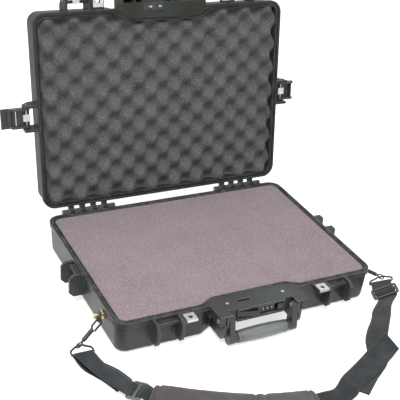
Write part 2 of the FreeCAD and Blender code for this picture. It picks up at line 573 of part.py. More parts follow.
def egg_crate():
    """Convoluted foam: peaks and dimples on a staggered grid, each face a flat facet."""
    reach = inset(JOGGED, c.rim_inner + c.foam_gap)
    back = lid_top - c.floor_t
    crest = lid_low + c.crate_drop
    middle = crest + c.crate_amp
    step_x = c.crate_x / 2
    step_y = c.crate_y / 2
    columns = math.ceil(half_w / step_x)
    rows = math.ceil(half_d / step_y)

    def node(i, j):
        sign = 1 if (i + j) % 2 else -1
        return V(i * step_x, j * step_y, middle + sign * c.crate_amp)

    faces = []
    for i in range(-columns, columns):
        for j in range(-rows, rows):
            ring = [node(i, j), node(i + 1, j), node(i + 1, j + 1), node(i, j + 1)]
            saddle = V((ring[0].x + ring[2].x) / 2, (ring[0].y + ring[2].y) / 2, middle)
            for start, end in zip(ring, ring[1:] + ring[:1]):
                faces.append(Part.Face(Part.makePolygon([start, end, saddle, start])))
    x_edge = columns * step_x
    y_edge = rows * step_y
    faces += crate_skirt(columns, rows, x_edge, y_edge, back, node)
    shell = Part.Shell(faces)
    shell.sewShape()
    block = Part.Solid(shell)
    if block.Volume < 0:
        block.reverse()
    return block.common(prism(outline(reach), lid_low, back))


def crate_skirt(columns, rows, x_edge, y_edge, back, node):
    """Side walls and flat back of the egg-crate block."""
    faces = []
    back += c.floor_t
    borders = [
        [node(i, -rows) for i in range(-columns, columns + 1)],
        [node(columns, j) for j in range(-rows, rows + 1)],
        [node(i, rows) for i in range(columns, -columns - 1, -1)],
        [node(-columns, j) for j in range(rows, -rows - 1, -1)],
    ]
    for border in borders:
        first = V(border[0].x, border[0].y, back)
        last = V(border[-1].x, border[-1].y, back)
        faces.append(Part.Face(Part.makePolygon(border + [last, first, border[0]])))
    ring = [V(x, y, back) for x, y, radius in rectangle(-x_edge, x_edge, -y_edge, y_edge)]
    faces.append(Part.Face(Part.makePolygon(ring + ring[:1])))
    return faces


def latch_link():
    """Latch body in its own frame: pivot bosses, two cheeks and an outer web with a rolled end."""
    half = c.latch_w / 2
    web = Part.makeBox(c.latch_w, c.web_t, c.link_up + c.link_down, V(-half, -c.web_out, -c.link_down))
    end_bar = Part.makeBox(c.latch_w - 2 * c.cheek_t, c.cheek_in, c.web_t,
                           V(-half + c.cheek_t, -c.web_out, -c.link_down))
    shape = web.fuse(end_bar)
    for side in SIDES:
        x_low = side * half if side < 0 else half - c.cheek_t
        corners = [(-c.web_out, c.link_up, c.lip_r), (-c.web_out, -c.lever_pin_down - c.cheek_in, c.lip_r),
                   (c.cheek_in, -c.lever_pin_down - c.cheek_in, c.cheek_in - c.slack),
                   (c.cheek_in, c.link_up, c.cheek_in)]
        cheek = Part.Face(wire_of(outline(corners))).extrude(V(0, 0, c.cheek_t))
        cheek.Placement = FreeCAD.Placement(V(x_low, 0, 0), FreeCAD.Rotation(Y_AXIS, Z_AXIS, X_AXIS, "ZXY"))
        shape = shape.fuse(cheek)
    bore = rod(-half, half, 0, 0, c.pivot_r + c.pin_fit)
    pin_bore = rod(-half, half, -c.lever_pin_out, -c.lever_pin_down, c.lever_pin_r)
    return shape.removeSplitter().cut(bore.fuse(pin_bore))


def latch_lever():
    """Pull lever in the latch's frame: finger plate, hinge boss and the hook wall that grips the catch."""
    half = c.latch_w / 2 - c.cheek_t - c.lever_gap
    top = -c.link_down - c.lever_top
    low = top - c.lever_len
    plate = Part.makeBox(c.latch_w, c.lever_t, -c.lever_pin_down - c.cheek_in - c.lever_gap - low,
                         V(-c.latch_w / 2, -c.web_out, low))
    neck = Part.makeBox(2 * half, c.lever_t, top - low - c.overrun, V(-half, -c.web_out, low + c.overrun))
    boss = rod(-half, half, -c.lever_pin_out, -c.lever_pin_down, c.lever_pin_r + c.hook_t / 2)
    tie = Part.makeBox(2 * half, c.web_out - c.lever_pin_out, c.hook_t,
                       V(-half, -c.web_out, -c.lever_pin_down - c.hook_t / 2))
    hook = Part.makeBox(2 * half, c.web_out + c.hook_in - c.cheek_in, c.hook_t,
                        V(-half, -c.web_out, -c.hook_down - c.hook_t))
    curl = rod(-c.latch_w / 2, c.latch_w / 2, -c.web_out + c.lip_r, low + c.lip_r, c.lip_r)
    shape = plate.fuse([neck, boss, tie, hook, curl]).removeSplitter()
    return shape.cut(rod(-half, half, -c.lever_pin_out, -c.lever_pin_down, c.lever_pin_r + c.pin_fit))


def make_latches():
    """Four latches. Each is drawn closed and hanging from its pivot, then swung out with the lid open."""
    link = latch_link()
    lever = latch_lever()
    half = c.latch_w / 2
    pin = rod(-half, half, -c.lever_pin_out, -c.lever_pin_down, c.lever_pin_r)
    clip = Part.makeBox(c.clip_w, c.clip_t, c.clip_w, V(-c.clip_w / 2, c.pivot_r + c.pin_fit, -c.clip_w / 2))
    stub = Part.makeBox(c.clip_w, c.web_out - c.web_t, c.clip_t, V(-c.clip_w / 2, -c.web_out + c.web_t,
                                                                  -c.clip_w / 2))
    riser = Part.makeBox(c.clip_w, c.pivot_r + c.pin_fit, c.clip_t, V(-c.clip_w / 2, 0, -c.clip_w / 2))
    clip = clip.fuse([stub, riser]).removeSplitter()
    pivots = []
    for name, station in STATIONS.items():
        stand = FreeCAD.Placement(station.spot, FreeCAD.Rotation(Z_AXIS, station.turn))
        swing = FreeCAD.Placement(V(), FreeCAD.Rotation(X_AXIS, -90))
        place = lid_turn.multiply(stand).multiply(swing)
        fold = c.folded_deg if name == "right" else 0
        lever_pin = V(0, -c.lever_pin_out, -c.lever_pin_down)
        folded = FreeCAD.Placement(V(), FreeCAD.Rotation(X_AXIS, -fold), lever_pin)
        shaped("latch_%s_link" % name, link.copy(), place)
        shaped("latch_%s_lever" % name, lever.copy(), place.multiply(folded))
        shaped("latch_%s_lever_pin" % name, pin.copy(), place)
        shaped("latch_%s_clip" % name, clip.copy(), place)
        reach = c.rib_gap / 2 + c.rib_t
        pivot = rod(-reach, reach, 0, 0, c.pivot_r)
        pivot.Placement = lid_turn.multiply(stand)
        pivots.append(pivot)
    shaped("latch_pivot_pins", Part.makeCompound(pivots))


def make_handle():
    """Handle in its own frame: its origin is the middle of the pivot line."""
    piece = Piece("handle_frame")
    grip = V(-c.grip_fwd, -c.grip_drop, 0)
    lean = math.atan2(-c.grip_fwd, -c.grip_drop)
    side = V(math.cos(lean), -math.sin(lean), 0)
    points = [side * c.arm_r, grip + side * c.hub_r, grip - side * c.hub_r, side * -c.arm_r]
    top = V(c.grip_fwd, c.grip_drop, 0).normalize() * c.arm_r
    low = grip - V(c.grip_fwd, c.grip_drop, 0).normalize() * c.hub_r
    profile = [Part.LineSegment(points[0], points[1]), Part.Arc(points[1], low, points[2]),
               Part.LineSegment(points[2], points[3]), Part.Arc(points[3], top, points[0])]
    made = piece.pad("YZ_Plane", "Sizes.arm_in", profile, "Sizes.arm_t")
    piece.mirror(made)
    hub = circle(grip.x, grip.y, c.hub_r - c.slack)
    made = piece.pad("YZ_Plane", "Sizes.grip_half + Sizes.slack", hub, "Sizes.arm_in - Sizes.grip_half")
    piece.mirror(made)
    core = circle(grip.x, grip.y, c.core_r)
    piece.pad("YZ_Plane", "0", core, "2 * Sizes.arm_in", SideType="Symmetric")
    pivots = circle(0, 0, c.rivet_r + c.pin_fit)
    piece.pocket("YZ_Plane", "0", pivots, "2 * (Sizes.arm_in + Sizes.arm_t) + Sizes.overrun",
                 SideType="Symmetric")
    piece.place(FreeCAD.Placement(V(0, handle_y, c.pivot_z), FreeCAD.Rotation()))
    make_grip()
    rivets = []
    for end in SIDES:
        inner = c.arm_in - c.slack
        outer = c.deck_half
        shank = rod(inner, outer, 0, 0, c.rivet_r)
        heads = [rod(inner - c.rivet_head_t, inner, 0, 0, c.rivet_head_r),
                 rod(outer, outer + c.rivet_head_t, 0, 0, c.rivet_head_r)]
        rivet = shank.fuse(heads).removeSplitter()
        if end < 0:
            rivet = rivet.mirror(V(), X_AXIS)
        rivet.translate(V(0, handle_y, c.pivot_z))
        rivets.append(rivet)
    shaped("handle_rivets", Part.makeCompound(rivets))


def make_grip():
    """Barrel-shaped grip moulded round the handle's core."""
    piece = Piece("handle_grip")
    bore = c.core_r + c.pin_fit
    crown = Part.Arc(V(-c.grip_half, c.grip_end_r, 0), V(0, c.grip_r, 0), V(c.grip_half, c.grip_end_r, 0))
    profile = [crown, Part.LineSegment(V(c.grip_half, c.grip_end_r, 0), V(c.grip_half, bore, 0)),
               Part.LineSegment(V(c.grip_half, bore, 0), V(-c.grip_half, bore, 0)),
               Part.LineSegment(V(-c.grip_half, bore, 0), V(-c.grip_half, c.grip_end_r, 0))]
    drawn = piece.sketch("XY_Plane", "0", profile)
    piece.feature("Revolution", True, Profile=drawn, ReferenceAxis=(drawn, ["H_Axis"]), Angle=360)
    piece.place(FreeCAD.Placement(V(0, grip_y, grip_z), FreeCAD.Rotation()))


def make_lock():
    """Dial lock: housing, three dials on a spindle, thumb slide with its bolt, and the deck screws."""
    back = deck_y + c.lock_deep
    low = c.lock_low + c.slack
    high = c.lock_low + c.lock_h - c.slack
    half = c.lock_half - c.slack
    block = Part.makeBox(2 * half, back - lock_y - c.slack, high - low, V(-half, lock_y, low))
    wedge_z = low + (high - low - c.wedge_h) / 2
    wedge_x = -half + c.lip
    wedge_face = [(wedge_x, lock_y + c.slack, 0), (wedge_x, lock_y - c.slack, 0),
                  (wedge_x + c.wedge_w, lock_y - c.wedge_proud, 0),
                  (wedge_x + c.wedge_w, lock_y + c.slack, 0)]
    wedge = prism(outline(wedge_face), wedge_z, wedge_z + c.wedge_h)
    block = block.fuse(wedge).removeSplitter()
    spindle_low = c.dial_x - 2 * c.dial_pitch
    spindle_high = c.dial_x + 2 * c.dial_pitch - c.dial_w / 2
    for index, name in zip((-1, 0, 1), ("left", "middle", "right")):
        middle = c.dial_x + index * c.dial_pitch
        room = rod(middle - c.dial_w / 2 - c.dial_gap, middle + c.dial_w / 2 + c.dial_gap, dial_y, c.dial_z,
                   c.dial_r + c.dial_gap)
        block = block.cut(room)
        dial = rod(middle - c.dial_w / 2, middle + c.dial_w / 2, dial_y, c.dial_z, c.dial_r)
        shaped("lock_dial_%s" % name, dial.cut(rod(middle - c.dial_w, middle + c.dial_w, dial_y, c.dial_z,
                                                   c.spindle_r + c.pin_fit)))
    block = block.cut(rod(spindle_low, spindle_high, dial_y, c.dial_z, c.spindle_r))
    shaped("lock_spindle", rod(spindle_low, spindle_high, dial_y, c.dial_z, c.spindle_r))
    window_z = c.dial_z - c.button_h / 2
    window_x = c.button_x - c.button_w / 2 - c.button_run - c.slack
    window = Part.makeBox(c.button_w + c.button_run + 2 * c.slack, back - lock_y + 2 * c.overrun,
                          c.button_h + 2 * c.slack, V(window_x, lock_y - c.overrun, window_z - c.slack))
    shaped("lock_housing", block.cut(window))
    button = Part.makeBox(c.button_w, back - lock_y + c.button_proud - c.slack, c.button_h,
                          V(c.button_x - c.button_w / 2, lock_y - c.button_proud, window_z))
    shaped("lock_button", button)
    make_bolt(back)
    make_screws()


def make_bolt(back):
    """Flat bolt that the button pushes along behind the housing, under the lid's hooks."""
    y_low = back + c.slack
    height = 2 * (c.bolt_h - c.slack)
    x_low = -c.slot_x - c.slot_w / 2
    x_high = c.button_x + c.button_w / 2
    bar = Part.makeBox(x_high - x_low, c.bolt_t - c.slack * 2, height / 2,
                       V(x_low, y_low - c.slack, c.dial_z - height / 2))
    shaped("lock_bolt", bar)


def make_screws():
    """Countersunk screws that hold the lock into the deck."""
    screws = []
    for side in SIDES:
        top = c.base_h - c.slack
        seat = c.base_h - c.screw_head_h
        spot = V(side * c.screw_x, front - c.screw_out, seat)
        head = Part.makeCone(c.screw_shank_r, c.screw_r - c.slack, top - seat, spot, Z_AXIS)
        shank = Part.makeCylinder(c.screw_shank_r, c.screw_deep - c.slack, spot, V(0, 0, -1))
        screws.append(head.fuse(shank).removeSplitter())
    shaped("deck_screws", Part.makeCompound(screws))


def make_hasp():
    """Hasp plate under the lid's brow and the two steel hooks that drop into the deck slot."""
    plate = Part.makeBox(c.hasp_w - c.slack, c.hasp_d - c.slack, c.hasp_t,
                         V(-c.slot_x - (c.hasp_w - c.slack) / 2, slot_y - (c.hasp_d - c.slack) / 2, lid_low))
    shaped("hasp_plate", plate, lid_turn)
    hooks = []
    outer = c.slot_w / 2 - 2 * c.slack
    shank = outer - c.hook_w / 2
    tip = outer - c.hook_w
    barb = -c.hook_reach + c.hook_w / 2
    for side in SIDES:
        corners = [(outer, 0, 0), (outer, -c.hook_reach, c.hook_nose_r), (tip, -c.hook_reach, c.slack),
                   (tip, barb, 0), (shank, barb, 0), (shank, 0, 0)]
        face = Part.Face(wire_of(outline(corners))).extrude(V(0, 0, c.hasp_hook_t))
        if side < 0:
            face = face.mirror(V(), X_AXIS)
        face.Placement = FreeCAD.Placement(V(-c.slot_x, slot_y + c.hasp_hook_t / 2, lid_low),
                                           FreeCAD.Rotation(X_AXIS, 90)).multiply(face.Placement)
        hooks.append(face)
    shaped("hasp_hooks", Part.makeCompound(hooks), lid_turn)


def tube(corners, wire_r):
    """Round wire along straight runs joined by tangent arcs, in the local XZ plane."""
    geometry = outline(corners)
    geometry = geometry[:len(corners) - 1] + geometry[len(corners):]
    path = Part.Wire(Part.__sortEdges__([piece.toShape() for piece in geometry]))
    path.Placement = FreeCAD.Placement(V(), FreeCAD.Rotation(X_AXIS, 90))
    first = path.OrderedEdges[0]
    start = first.valueAt(first.FirstParameter)
    tangent = first.tangentAt(first.FirstParameter)
    ring = Part.Wire([Part.makeCircle(wire_r, start, tangent)])
    return path.makePipeShell([ring], True, False)


def make_strap_ends():
    """Studs in the side walls, with the ring, snap hook, gate, swivel and wire loop that hang on each."""
    studs = []
    rings = []
    bars = {}
    draft = math.tan(math.radians(c.draft_deg))
    wall = half_w - c.lip - (c.base_h - c.rim_band - c.stud_z) * draft
    for side, name in zip(SIDES, ("left", "right")):
        spot = V(side * (wall + c.stud_gap), -c.stud_y, c.stud_z)
        out = V(side, 0, 0)
        flange = Part.makeCylinder(c.stud_flange_r, c.stud_flange_t, spot, out)
        neck = Part.makeCylinder(c.stud_neck_r, c.stud_len, spot, out)
        head = Part.makeCylinder(c.stud_head_r, c.stud_head_t, spot + out * (c.stud_len - c.stud_head_t), out)
        studs.append(flange.fuse([neck, head]).removeSplitter())
        hang = spot + out * ((c.stud_flange_t + c.stud_len - c.stud_head_t) / 2)
        apex = V(*ROUTES[name + "_apex"])
        drop = apex - hang
        drop = (drop - out * (drop.dot(out) * (1 - c.ring_lean))).normalize()
        offset = c.ring_r - c.ring_wire - c.stud_neck_r - 2 * c.slack
        facing = out - drop * out.dot(drop)
        rings.append(Part.makeTorus(c.ring_r, c.ring_wire, hang + drop * offset, facing))
        far = hang + drop * (offset + c.ring_r)
        pull = (apex - far).normalize()
        bars[name] = make_snap(name, far, pull, pull.cross(drop.cross(facing)) * -side)
    shaped("strap_studs", Part.makeCompound(studs))
    shaped("strap_rings", Part.makeCompound(rings))
    return bars


def make_snap(name, far, pull, facing):
    """Snap hook with its gate, swivel eye and wire loop."""
    reach = c.ring_wire + c.hook_wire + c.slack
    spot = frame(far - pull * (reach - c.hook_half), facing, pull)
    side = c.hook_half
    root = c.hook_len + c.barrel_r
    corners = [(0, root, 0), (0, c.hook_len, c.barrel_r), (-side, c.hook_len - side, c.barrel_r),
               (-side, -side, side - c.slack), (side, -side, side - c.slack), (side, c.hook_wire, 0)]
    hook = tube(corners, c.hook_wire)
    barrel = Part.makeCylinder(c.barrel_r, c.barrel_len, V(0, 0, c.hook_len + c.slack), Z_AXIS)
    shaped("snap_hook_%s" % name, hook.fuse(barrel).removeSplitter(), spot)
    gate = Part.makeCylinder(c.hook_wire, c.hook_len - c.hook_wire - 2 * c.slack,
                             V(side, 0, c.hook_wire + c.slack), Z_AXIS)
    knuckle = Part.makeCylinder(c.hook_wire, 2 * c.gate_half, V(side, -c.gate_half, c.gate_up), Y_AXIS)
    shaped("snap_gate_%s" % name, gate.fuse(knuckle).removeSplitter(), spot)
    neck_low = c.hook_len + c.slack + c.barrel_len
    eye_z = neck_low + c.swivel_len + c.swivel_eye
    neck = Part.makeCylinder(c.swivel_r, c.swivel_len + c.swivel_wire / 2, V(0, 0, neck_low), Z_AXIS)
    eye = Part.makeTorus(c.swivel_eye, c.swivel_wire, V(0, 0, eye_z), Y_AXIS)
    swivel = neck.fuse(eye).removeSplitter()
    width = V(*ROUTES[name + "_width"])
    turned = frame(spot.Base, width.cross(pull), pull)
    shaped("snap_swivel_%s" % name, swivel, turned)
    slip = c.swivel_eye - c.swivel_wire - c.loop_wire - c.eye_play
    apex = spot.Base + pull * (eye_z + slip)
    loop_corners = [(0, 0, 0), (c.loop_top, 0, c.loop_wire), (c.loop_half, c.loop_shoulder, c.loop_top),
                    (c.loop_half, c.loop_h, c.loop_foot_r), (0, c.loop_h, 0)]
    arm = tube(loop_corners, c.loop_wire)
    loop = arm.fuse(arm.mirror(V(), X_AXIS)).removeSplitter()
    lead = V(*ROUTES[name + "_lead"])
    level = V(width).normalize()
    hung = frame(apex, level, lead - level * lead.dot(level))
    shaped("strap_loop_%s" % name, loop, hung)
    across = hung.Rotation.multVec(X_AXIS)
    lead = hung.Rotation.multVec(Z_AXIS)
    return SimpleNamespace(middle=apex + lead * c.loop_h, across=across, away=lead * -1)


# Where the strap hangs and lies: points chosen by hand along its way over the floor
ROUTES = {
    "left_apex": (-311.0, -154.5, 16.0), "left_width": (34.8, 9.0, -8.0), "left_lead": (0.0, -9.3, -3.6),
    "right_apex": (308.0, -151.0, 16.0), "right_width": (32.4, -26.8, 21.1), "right_lead": (-3.7, -13.5, 0.5),
    "left_glide": ((-255.0, -276.6, 6.9), (31.9, 35.4, -6.4), (0.742, -0.67, 0.0)),
    "right_glide": ((285.6, -191.9, 14.6), (42.2, -13.0, 18.0), (0.404, 0.885, 0.25)),
    "left_tail": ((-282.0, -262.0, 1.1, -249.0, -243.0, 1.1), (-294.5, -229.0, 1.1, -261.0, -211.0, 1.1),
                  (-312.4, -196.0, 1.3, -278.0, -184.0, 1.1)),
    "left_upper": ((-308.3, -209.3, 13.5, -276.5, -196.0, 4.6), (-296.3, -240.0, 11.5, -264.0, -219.3, 4.6)),
    "under_pad": ((-234.0, -296.0, 1.1), (-226.0, -301.5, 1.1), (-196.0, -325.5, 1.1),
                  (-155.8, -348.8, 1.1), (-102.6, -375.8, 1.1), (-61.7, -388.9, 1.1),
                  (-21.4, -397.1, 1.1), (5.0, -399.8, 1.1), (26.0, -400.5, 1.3)),
    "left_end": ((44.0, -382.5, 1.6, 51.0, -418.0, 1.6), (56.0, -377.0, 2.6, 74.0, -410.0, 2.6),
                 (75.0, -363.0, 3.6, 93.0, -396.5, 3.6), (100.0, -350.5, 3.8, 117.0, -387.0, 3.8),
                 (129.0, -336.0, 4.4, 146.0, -374.0, 4.4), (162.0, -319.0, 7.0, 179.0, -357.0, 6.0),
                 (204.0, -304.0, 19.0, 206.0, -344.0, 12.0)),
    "right_end": ((71.0, -385.6, 1.1, 94.0, -416.0, 1.1), (108.0, -357.5, 1.1, 131.0, -388.0, 1.1),
                  (150.0, -328.6, 1.1, 173.0, -359.0, 1.8), (172.0, -293.0, 1.5, 197.0, -322.0, 7.0),
                  (194.0, -268.0, 2.0, 219.0, -294.0, 17.0), (217.0, -247.0, 2.0, 246.0, -263.0, 20.0),
                  (237.0, -224.0, 2.4, 267.0, -237.0, 20.0)),
    "pad": ((-229.0, -298.5, 24.0), (-221.0, -305.5, 26.0), (-196.0, -325.5, 27.0), (-155.8, -348.8, 27.0),
            (-102.6, -375.8, 27.0), (-61.7, -388.9, 26.0), (-21.4, -397.1, 24.0), (5.0, -399.8, 21.0)),
}


def section(left, right, thickness, ahead):
    """Rectangular section of a band between its two edges, square to the way ahead."""
    across = (right - left).normalize()
    normal = across.cross(ahead).normalize()
    lift = normal * (thickness / 2)
    return Part.makePolygon([left - lift, right - lift, right + lift, left + lift, left - lift])


def band(edges, thickness):
    """Flat band lofted through its edge points."""
    middles = [(left + right) / 2 for left, right in edges]
    wires = []
    for i, (left, right) in enumerate(edges):
        before = middles[max(i - 1, 0)]
        after = middles[min(i + 1, len(middles) - 1)]
        wires.append(section(left, right, thickness, (after - before).normalize()))
    return Part.makeLoft(wires, True, True)


def pairs(rows):
    """Edge pairs from rows of six coordinates."""
    return [(V(*row[:3]), V(*row[3:])) for row in rows]


def flat_pairs(route, half):
    """Edge pairs either side of a route that lies on the floor, far edge second."""
    spots = [V(*spot[:2], 0) for spot in route]
    edges = []
    for i, spot in enumerate(spots):
        ahead = (spots[min(i + 1, len(spots) - 1)] - spots[max(i - 1, 0)]).normalize()
        across = Z_AXIS.cross(ahead) * half
        rise = V(0, 0, route[i][2])
        edges.append((spot - across + rise, spot + across + rise))
    return edges


def wrap_pairs(bar, upward):
    """Edge pairs that take the webbing round a loop's bar: upward is 1 from below it, -1 from above."""
    lift = bar.away.cross(bar.across)
    lift = lift if lift.z > 0 else lift * -1
    reach = c.loop_wire + c.slack + c.web_thick / 2
    half = bar.across * (c.web_w / 2)
    edges = []
    for degrees in (-74, -38, 0, 45, 90)[::upward]:
        turn = math.radians(degrees)
        spot = bar.middle + (bar.away * math.cos(turn) + lift * math.sin(turn)) * reach
        edges.append((spot - half, spot + half))
    return edges


def glide_pairs(place):
    """Edge pairs that thread the webbing under a slide's end bars and over its middle bar."""
    dip = c.glide_t / 2 + c.slack + c.web_thick / 2
    half = c.web_w / 2
    end = c.glide_len / 2
    inner = end - c.glide_bar
    steps = ((-end - c.glide_t, -dip), (-inner, -dip), (-c.glide_bar / 2, dip), (c.glide_bar / 2, dip),
             (inner, -dip), (end + c.glide_t, -dip))
    return [(place.multVec(V(-half, y, z)), place.multVec(V(half, y, z))) for y, z in steps]


def glide_place(name):
    """Placement of a slide: X along its bars, Y along the webbing."""
    spot, width, ahead = (V(*row) for row in ROUTES[name + "_glide"])
    x_unit = V(width).normalize()
    y_unit = (ahead - x_unit * ahead.dot(x_unit)).normalize()
    return FreeCAD.Placement(spot, FreeCAD.Rotation(x_unit, y_unit, x_unit.cross(y_unit), "XYZ"))


def make_glides():
    """Three-bar slide, one on each end of the strap."""
    rim = rectangle(-c.glide_w / 2, c.glide_w / 2, -c.glide_len / 2, c.glide_len / 2, c.glide_bar)
    body = prism(outline(rim), -c.glide_t / 2, c.glide_t / 2)
    slot_half = c.web_w / 2 + c.overrun
    slot_low = c.glide_bar / 2
    slot_len = c.glide_len / 2 - c.glide_bar - slot_low
    for side in SIDES:
        y = slot_low if side > 0 else -slot_low - slot_len
        body = body.cut(Part.makeBox(2 * slot_half, slot_len, 2 * c.glide_t, V(-slot_half, y, -c.glide_t)))
    for name in ("left", "right"):
        shaped("tri_glide_%s" % name, body.copy(), glide_place(name))


def make_webbing(bars):
    """Webbing on both ends of the strap, threaded through its slides, and the shoulder pad it carries."""
    half = c.web_w / 2
    left = pairs(ROUTES["left_tail"]) + wrap_pairs(bars["left"], 1) + pairs(ROUTES["left_upper"])
    left += glide_pairs(glide_place("left")) + flat_pairs(ROUTES["under_pad"], half)
    flip = [(far, near) for near, far in pairs(ROUTES["left_end"])]
    shaped("webbing_left", band(twist_free(left + flip), c.web_thick))
    right = pairs(ROUTES["right_end"]) + glide_pairs(glide_place("right")) + wrap_pairs(bars["right"], -1)
    low = [(place_down(near), place_down(far)) for near, far in glide_pairs(glide_place("right"))[-1:]]
    shaped("webbing_right", band(right + low, c.web_thick))
    make_pad()


def place_down(spot):
    """Point a little under another, for the tail that lies beneath the webbing."""
    return spot - V(0, 0, c.tail_drop)


def twist_free(edges):
    """Swap an edge pair wherever it would turn the band over."""
    kept = [edges[0]]
    for near, far in edges[1:]:
        before = kept[-1][1] - kept[-1][0]
        kept.append((near, far) if before.dot(far - near) > 0 else (far, near))
    return kept


def make_pad():
    """Shoulder pad: soft crowned body with drawn-in sides, over the webbing."""
    route = ROUTES["pad"]
    spots = [V(x, y, 0) for x, y, half in route]
    low = c.pad_low
    wires = []
    for i, spot in enumerate(spots):
        ahead = (spots[min(i + 1, len(spots) - 1)] - spots[max(i - 1, 0)]).normalize()
        across = Z_AXIS.cross(ahead)
        half = route[i][2]
        crown_shares = ((-1.0, 0.3), (-0.94, 0.0), (0.94, 0.0), (1.0, 0.3), (0.93, 0.72), (0.62, 0.95),
                        (0.0, 1.0), (-0.62, 0.95), (-0.93, 0.72))
        ring = [spot + across * (half * x) + V(0, 0, low + c.pad_t * z) for x, z in crown_shares]
        wires.append(Part.makePolygon(ring + ring[:1]))
    shaped("shoulder_pad", Part.makeLoft(wires, True, True))


def check_and_export():
    """Stop on any failed object, then write one STEP file for each sub-part."""
    doc.recompute()
    os.makedirs("parts", exist_ok=True)
    for item in doc.Objects:
        if "Invalid" in item.State or "Error" in item.State:
            raise RuntimeError("%s failed: %s" % (item.Label, item.State))
    for item in doc.Objects:
        if item.TypeId in ("PartDesign::Body", "Part::Feature"):
            if item.Shape.isNull() or not item.Shape.isValid():
                raise RuntimeError("%s has no valid shape" % item.Label)
            item.Shape.exportStep("parts/%s.step" % item.Label)
            print(item.Label, len(item.Shape.Solids), round(item.Shape.Volume))


def main():
    """Build every sub-part."""
    make_base_shell()
    lid = make_lid_shell()
    lid.place(lid_turn)
    make_hinge_pins()
    make_gasket()
    make_padlock_plates()
    make_foam()
    make_latches()
    make_handle()
    make_lock()
    make_hasp()
    bars = make_strap_ends()
    make_glides()
    make_webbing(bars)
    check_and_export()


main()
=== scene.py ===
"""Laptop hard case, open: foams, shoulder strap, grip, dials and finishes built round the fixed frame.

Lengths in the dataclasses are millimetres in the frame's own axes: -Y is the handle side and +Z is up.
Lid pieces are drawn closed and turned open with the lid.
"""
import logging
import math
from dataclasses import dataclass, field
from enum import Enum
from typing import Callable, Sequence, Union

import bmesh
import bpy
from mathutils import Matrix, Vector


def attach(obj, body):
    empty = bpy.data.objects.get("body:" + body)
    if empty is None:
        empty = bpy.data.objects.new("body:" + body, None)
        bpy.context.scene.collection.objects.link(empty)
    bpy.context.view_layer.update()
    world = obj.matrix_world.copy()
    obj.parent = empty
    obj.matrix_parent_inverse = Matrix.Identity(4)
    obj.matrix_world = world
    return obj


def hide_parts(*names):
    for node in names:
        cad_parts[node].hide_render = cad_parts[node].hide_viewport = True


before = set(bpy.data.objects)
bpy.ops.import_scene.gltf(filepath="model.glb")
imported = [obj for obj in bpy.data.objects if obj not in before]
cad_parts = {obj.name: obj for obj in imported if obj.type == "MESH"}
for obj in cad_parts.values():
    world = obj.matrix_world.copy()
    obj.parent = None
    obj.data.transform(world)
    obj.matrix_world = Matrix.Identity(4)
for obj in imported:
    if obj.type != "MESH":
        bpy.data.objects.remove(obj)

log = logging.getLogger("laptop_case")
logging.basicConfig(level=logging.INFO, format="%(name)s: %(message)s")

MM = 0.001
Colour = tuple[float, float, float]
Link = Union["Signal", float, int, Colour, Sequence[float]]
WHITE: Colour = (1.0, 1.0, 1.0)
SHELL: Colour = (0.034, 0.037, 0.035)
# Pale colour of sharp edges: partly wear, partly painted highlight where the edges catch the light.
WEAR_AND_HIGHLIGHT: Colour = (0.38, 0.4, 0.39)
BASE_RIM = 65.4
LID_RIM = 65.7
NEAR = 1e-5
SHARP = (0.02, 0.22)


class Rides(Enum):
    """Bodies that the new pieces move with."""

    BASE = "base"
    LID = "lid"
    HANDLE = "handle"
    DIAL_LEFT = "dial_left"
    DIAL_MIDDLE = "dial_middle"
    DIAL_RIGHT = "dial_right"


# ---------------------------------------------------------------- shader tools

class Signal:
    """A shader socket that adds, subtracts and scales with Python's own operators."""

    def __init__(self, paint: "Graph", socket: bpy.types.NodeSocket) -> None:
        """Keep the socket and the graph it belongs to."""
        self.paint = paint
        self.socket = socket

    def _math(self, operation: str, first: Link, second: Link) -> "Signal":
        """Result of one Math node on two values."""
        return self.paint.node("ShaderNodeMath", {"operation": operation}, {0: first, 1: second})

    def __add__(self, other: Link) -> "Signal":
        """Sum of this and another value."""
        return self._math("ADD", self, other)

    def __radd__(self, other: Link) -> "Signal":
        """Sum of another value and this."""
        return self._math("ADD", other, self)

    def __sub__(self, other: Link) -> "Signal":
        """This less another value."""
        return self._math("SUBTRACT", self, other)

    def __rsub__(self, other: Link) -> "Signal":
        """Another value less this."""
        return self._math("SUBTRACT", other, self)

    def __mul__(self, other: Link) -> "Signal":
        """Product of this and another value."""
        return self._math("MULTIPLY", self, other)

    def __rmul__(self, other: Link) -> "Signal":
        """Product of another value and this."""
        return self._math("MULTIPLY", other, self)

    def sine(self) -> "Signal":
        """Sine of this value."""
        return self._math("SINE", self, 0.0)

    def size(self) -> "Signal":
        """This value without its sign."""
        return self._math("ABSOLUTE", self, 0.0)

    def root(self) -> "Signal":
        """Square root of this value."""
        return self._math("SQRT", self, 0.0)

    def at_least(self, low: Link) -> "Signal":
        """This value, but never under a limit."""
        return self._math("MAXIMUM", self, low)

    def between(self, low: float, high: float) -> "Signal":
        """This value with its span from low to high stretched over 0 to 1, and held there."""
        return self.paint.node("ShaderNodeMapRange", {"clamp": True},
                               {"Value": self, "From Min": low, "From Max": high})


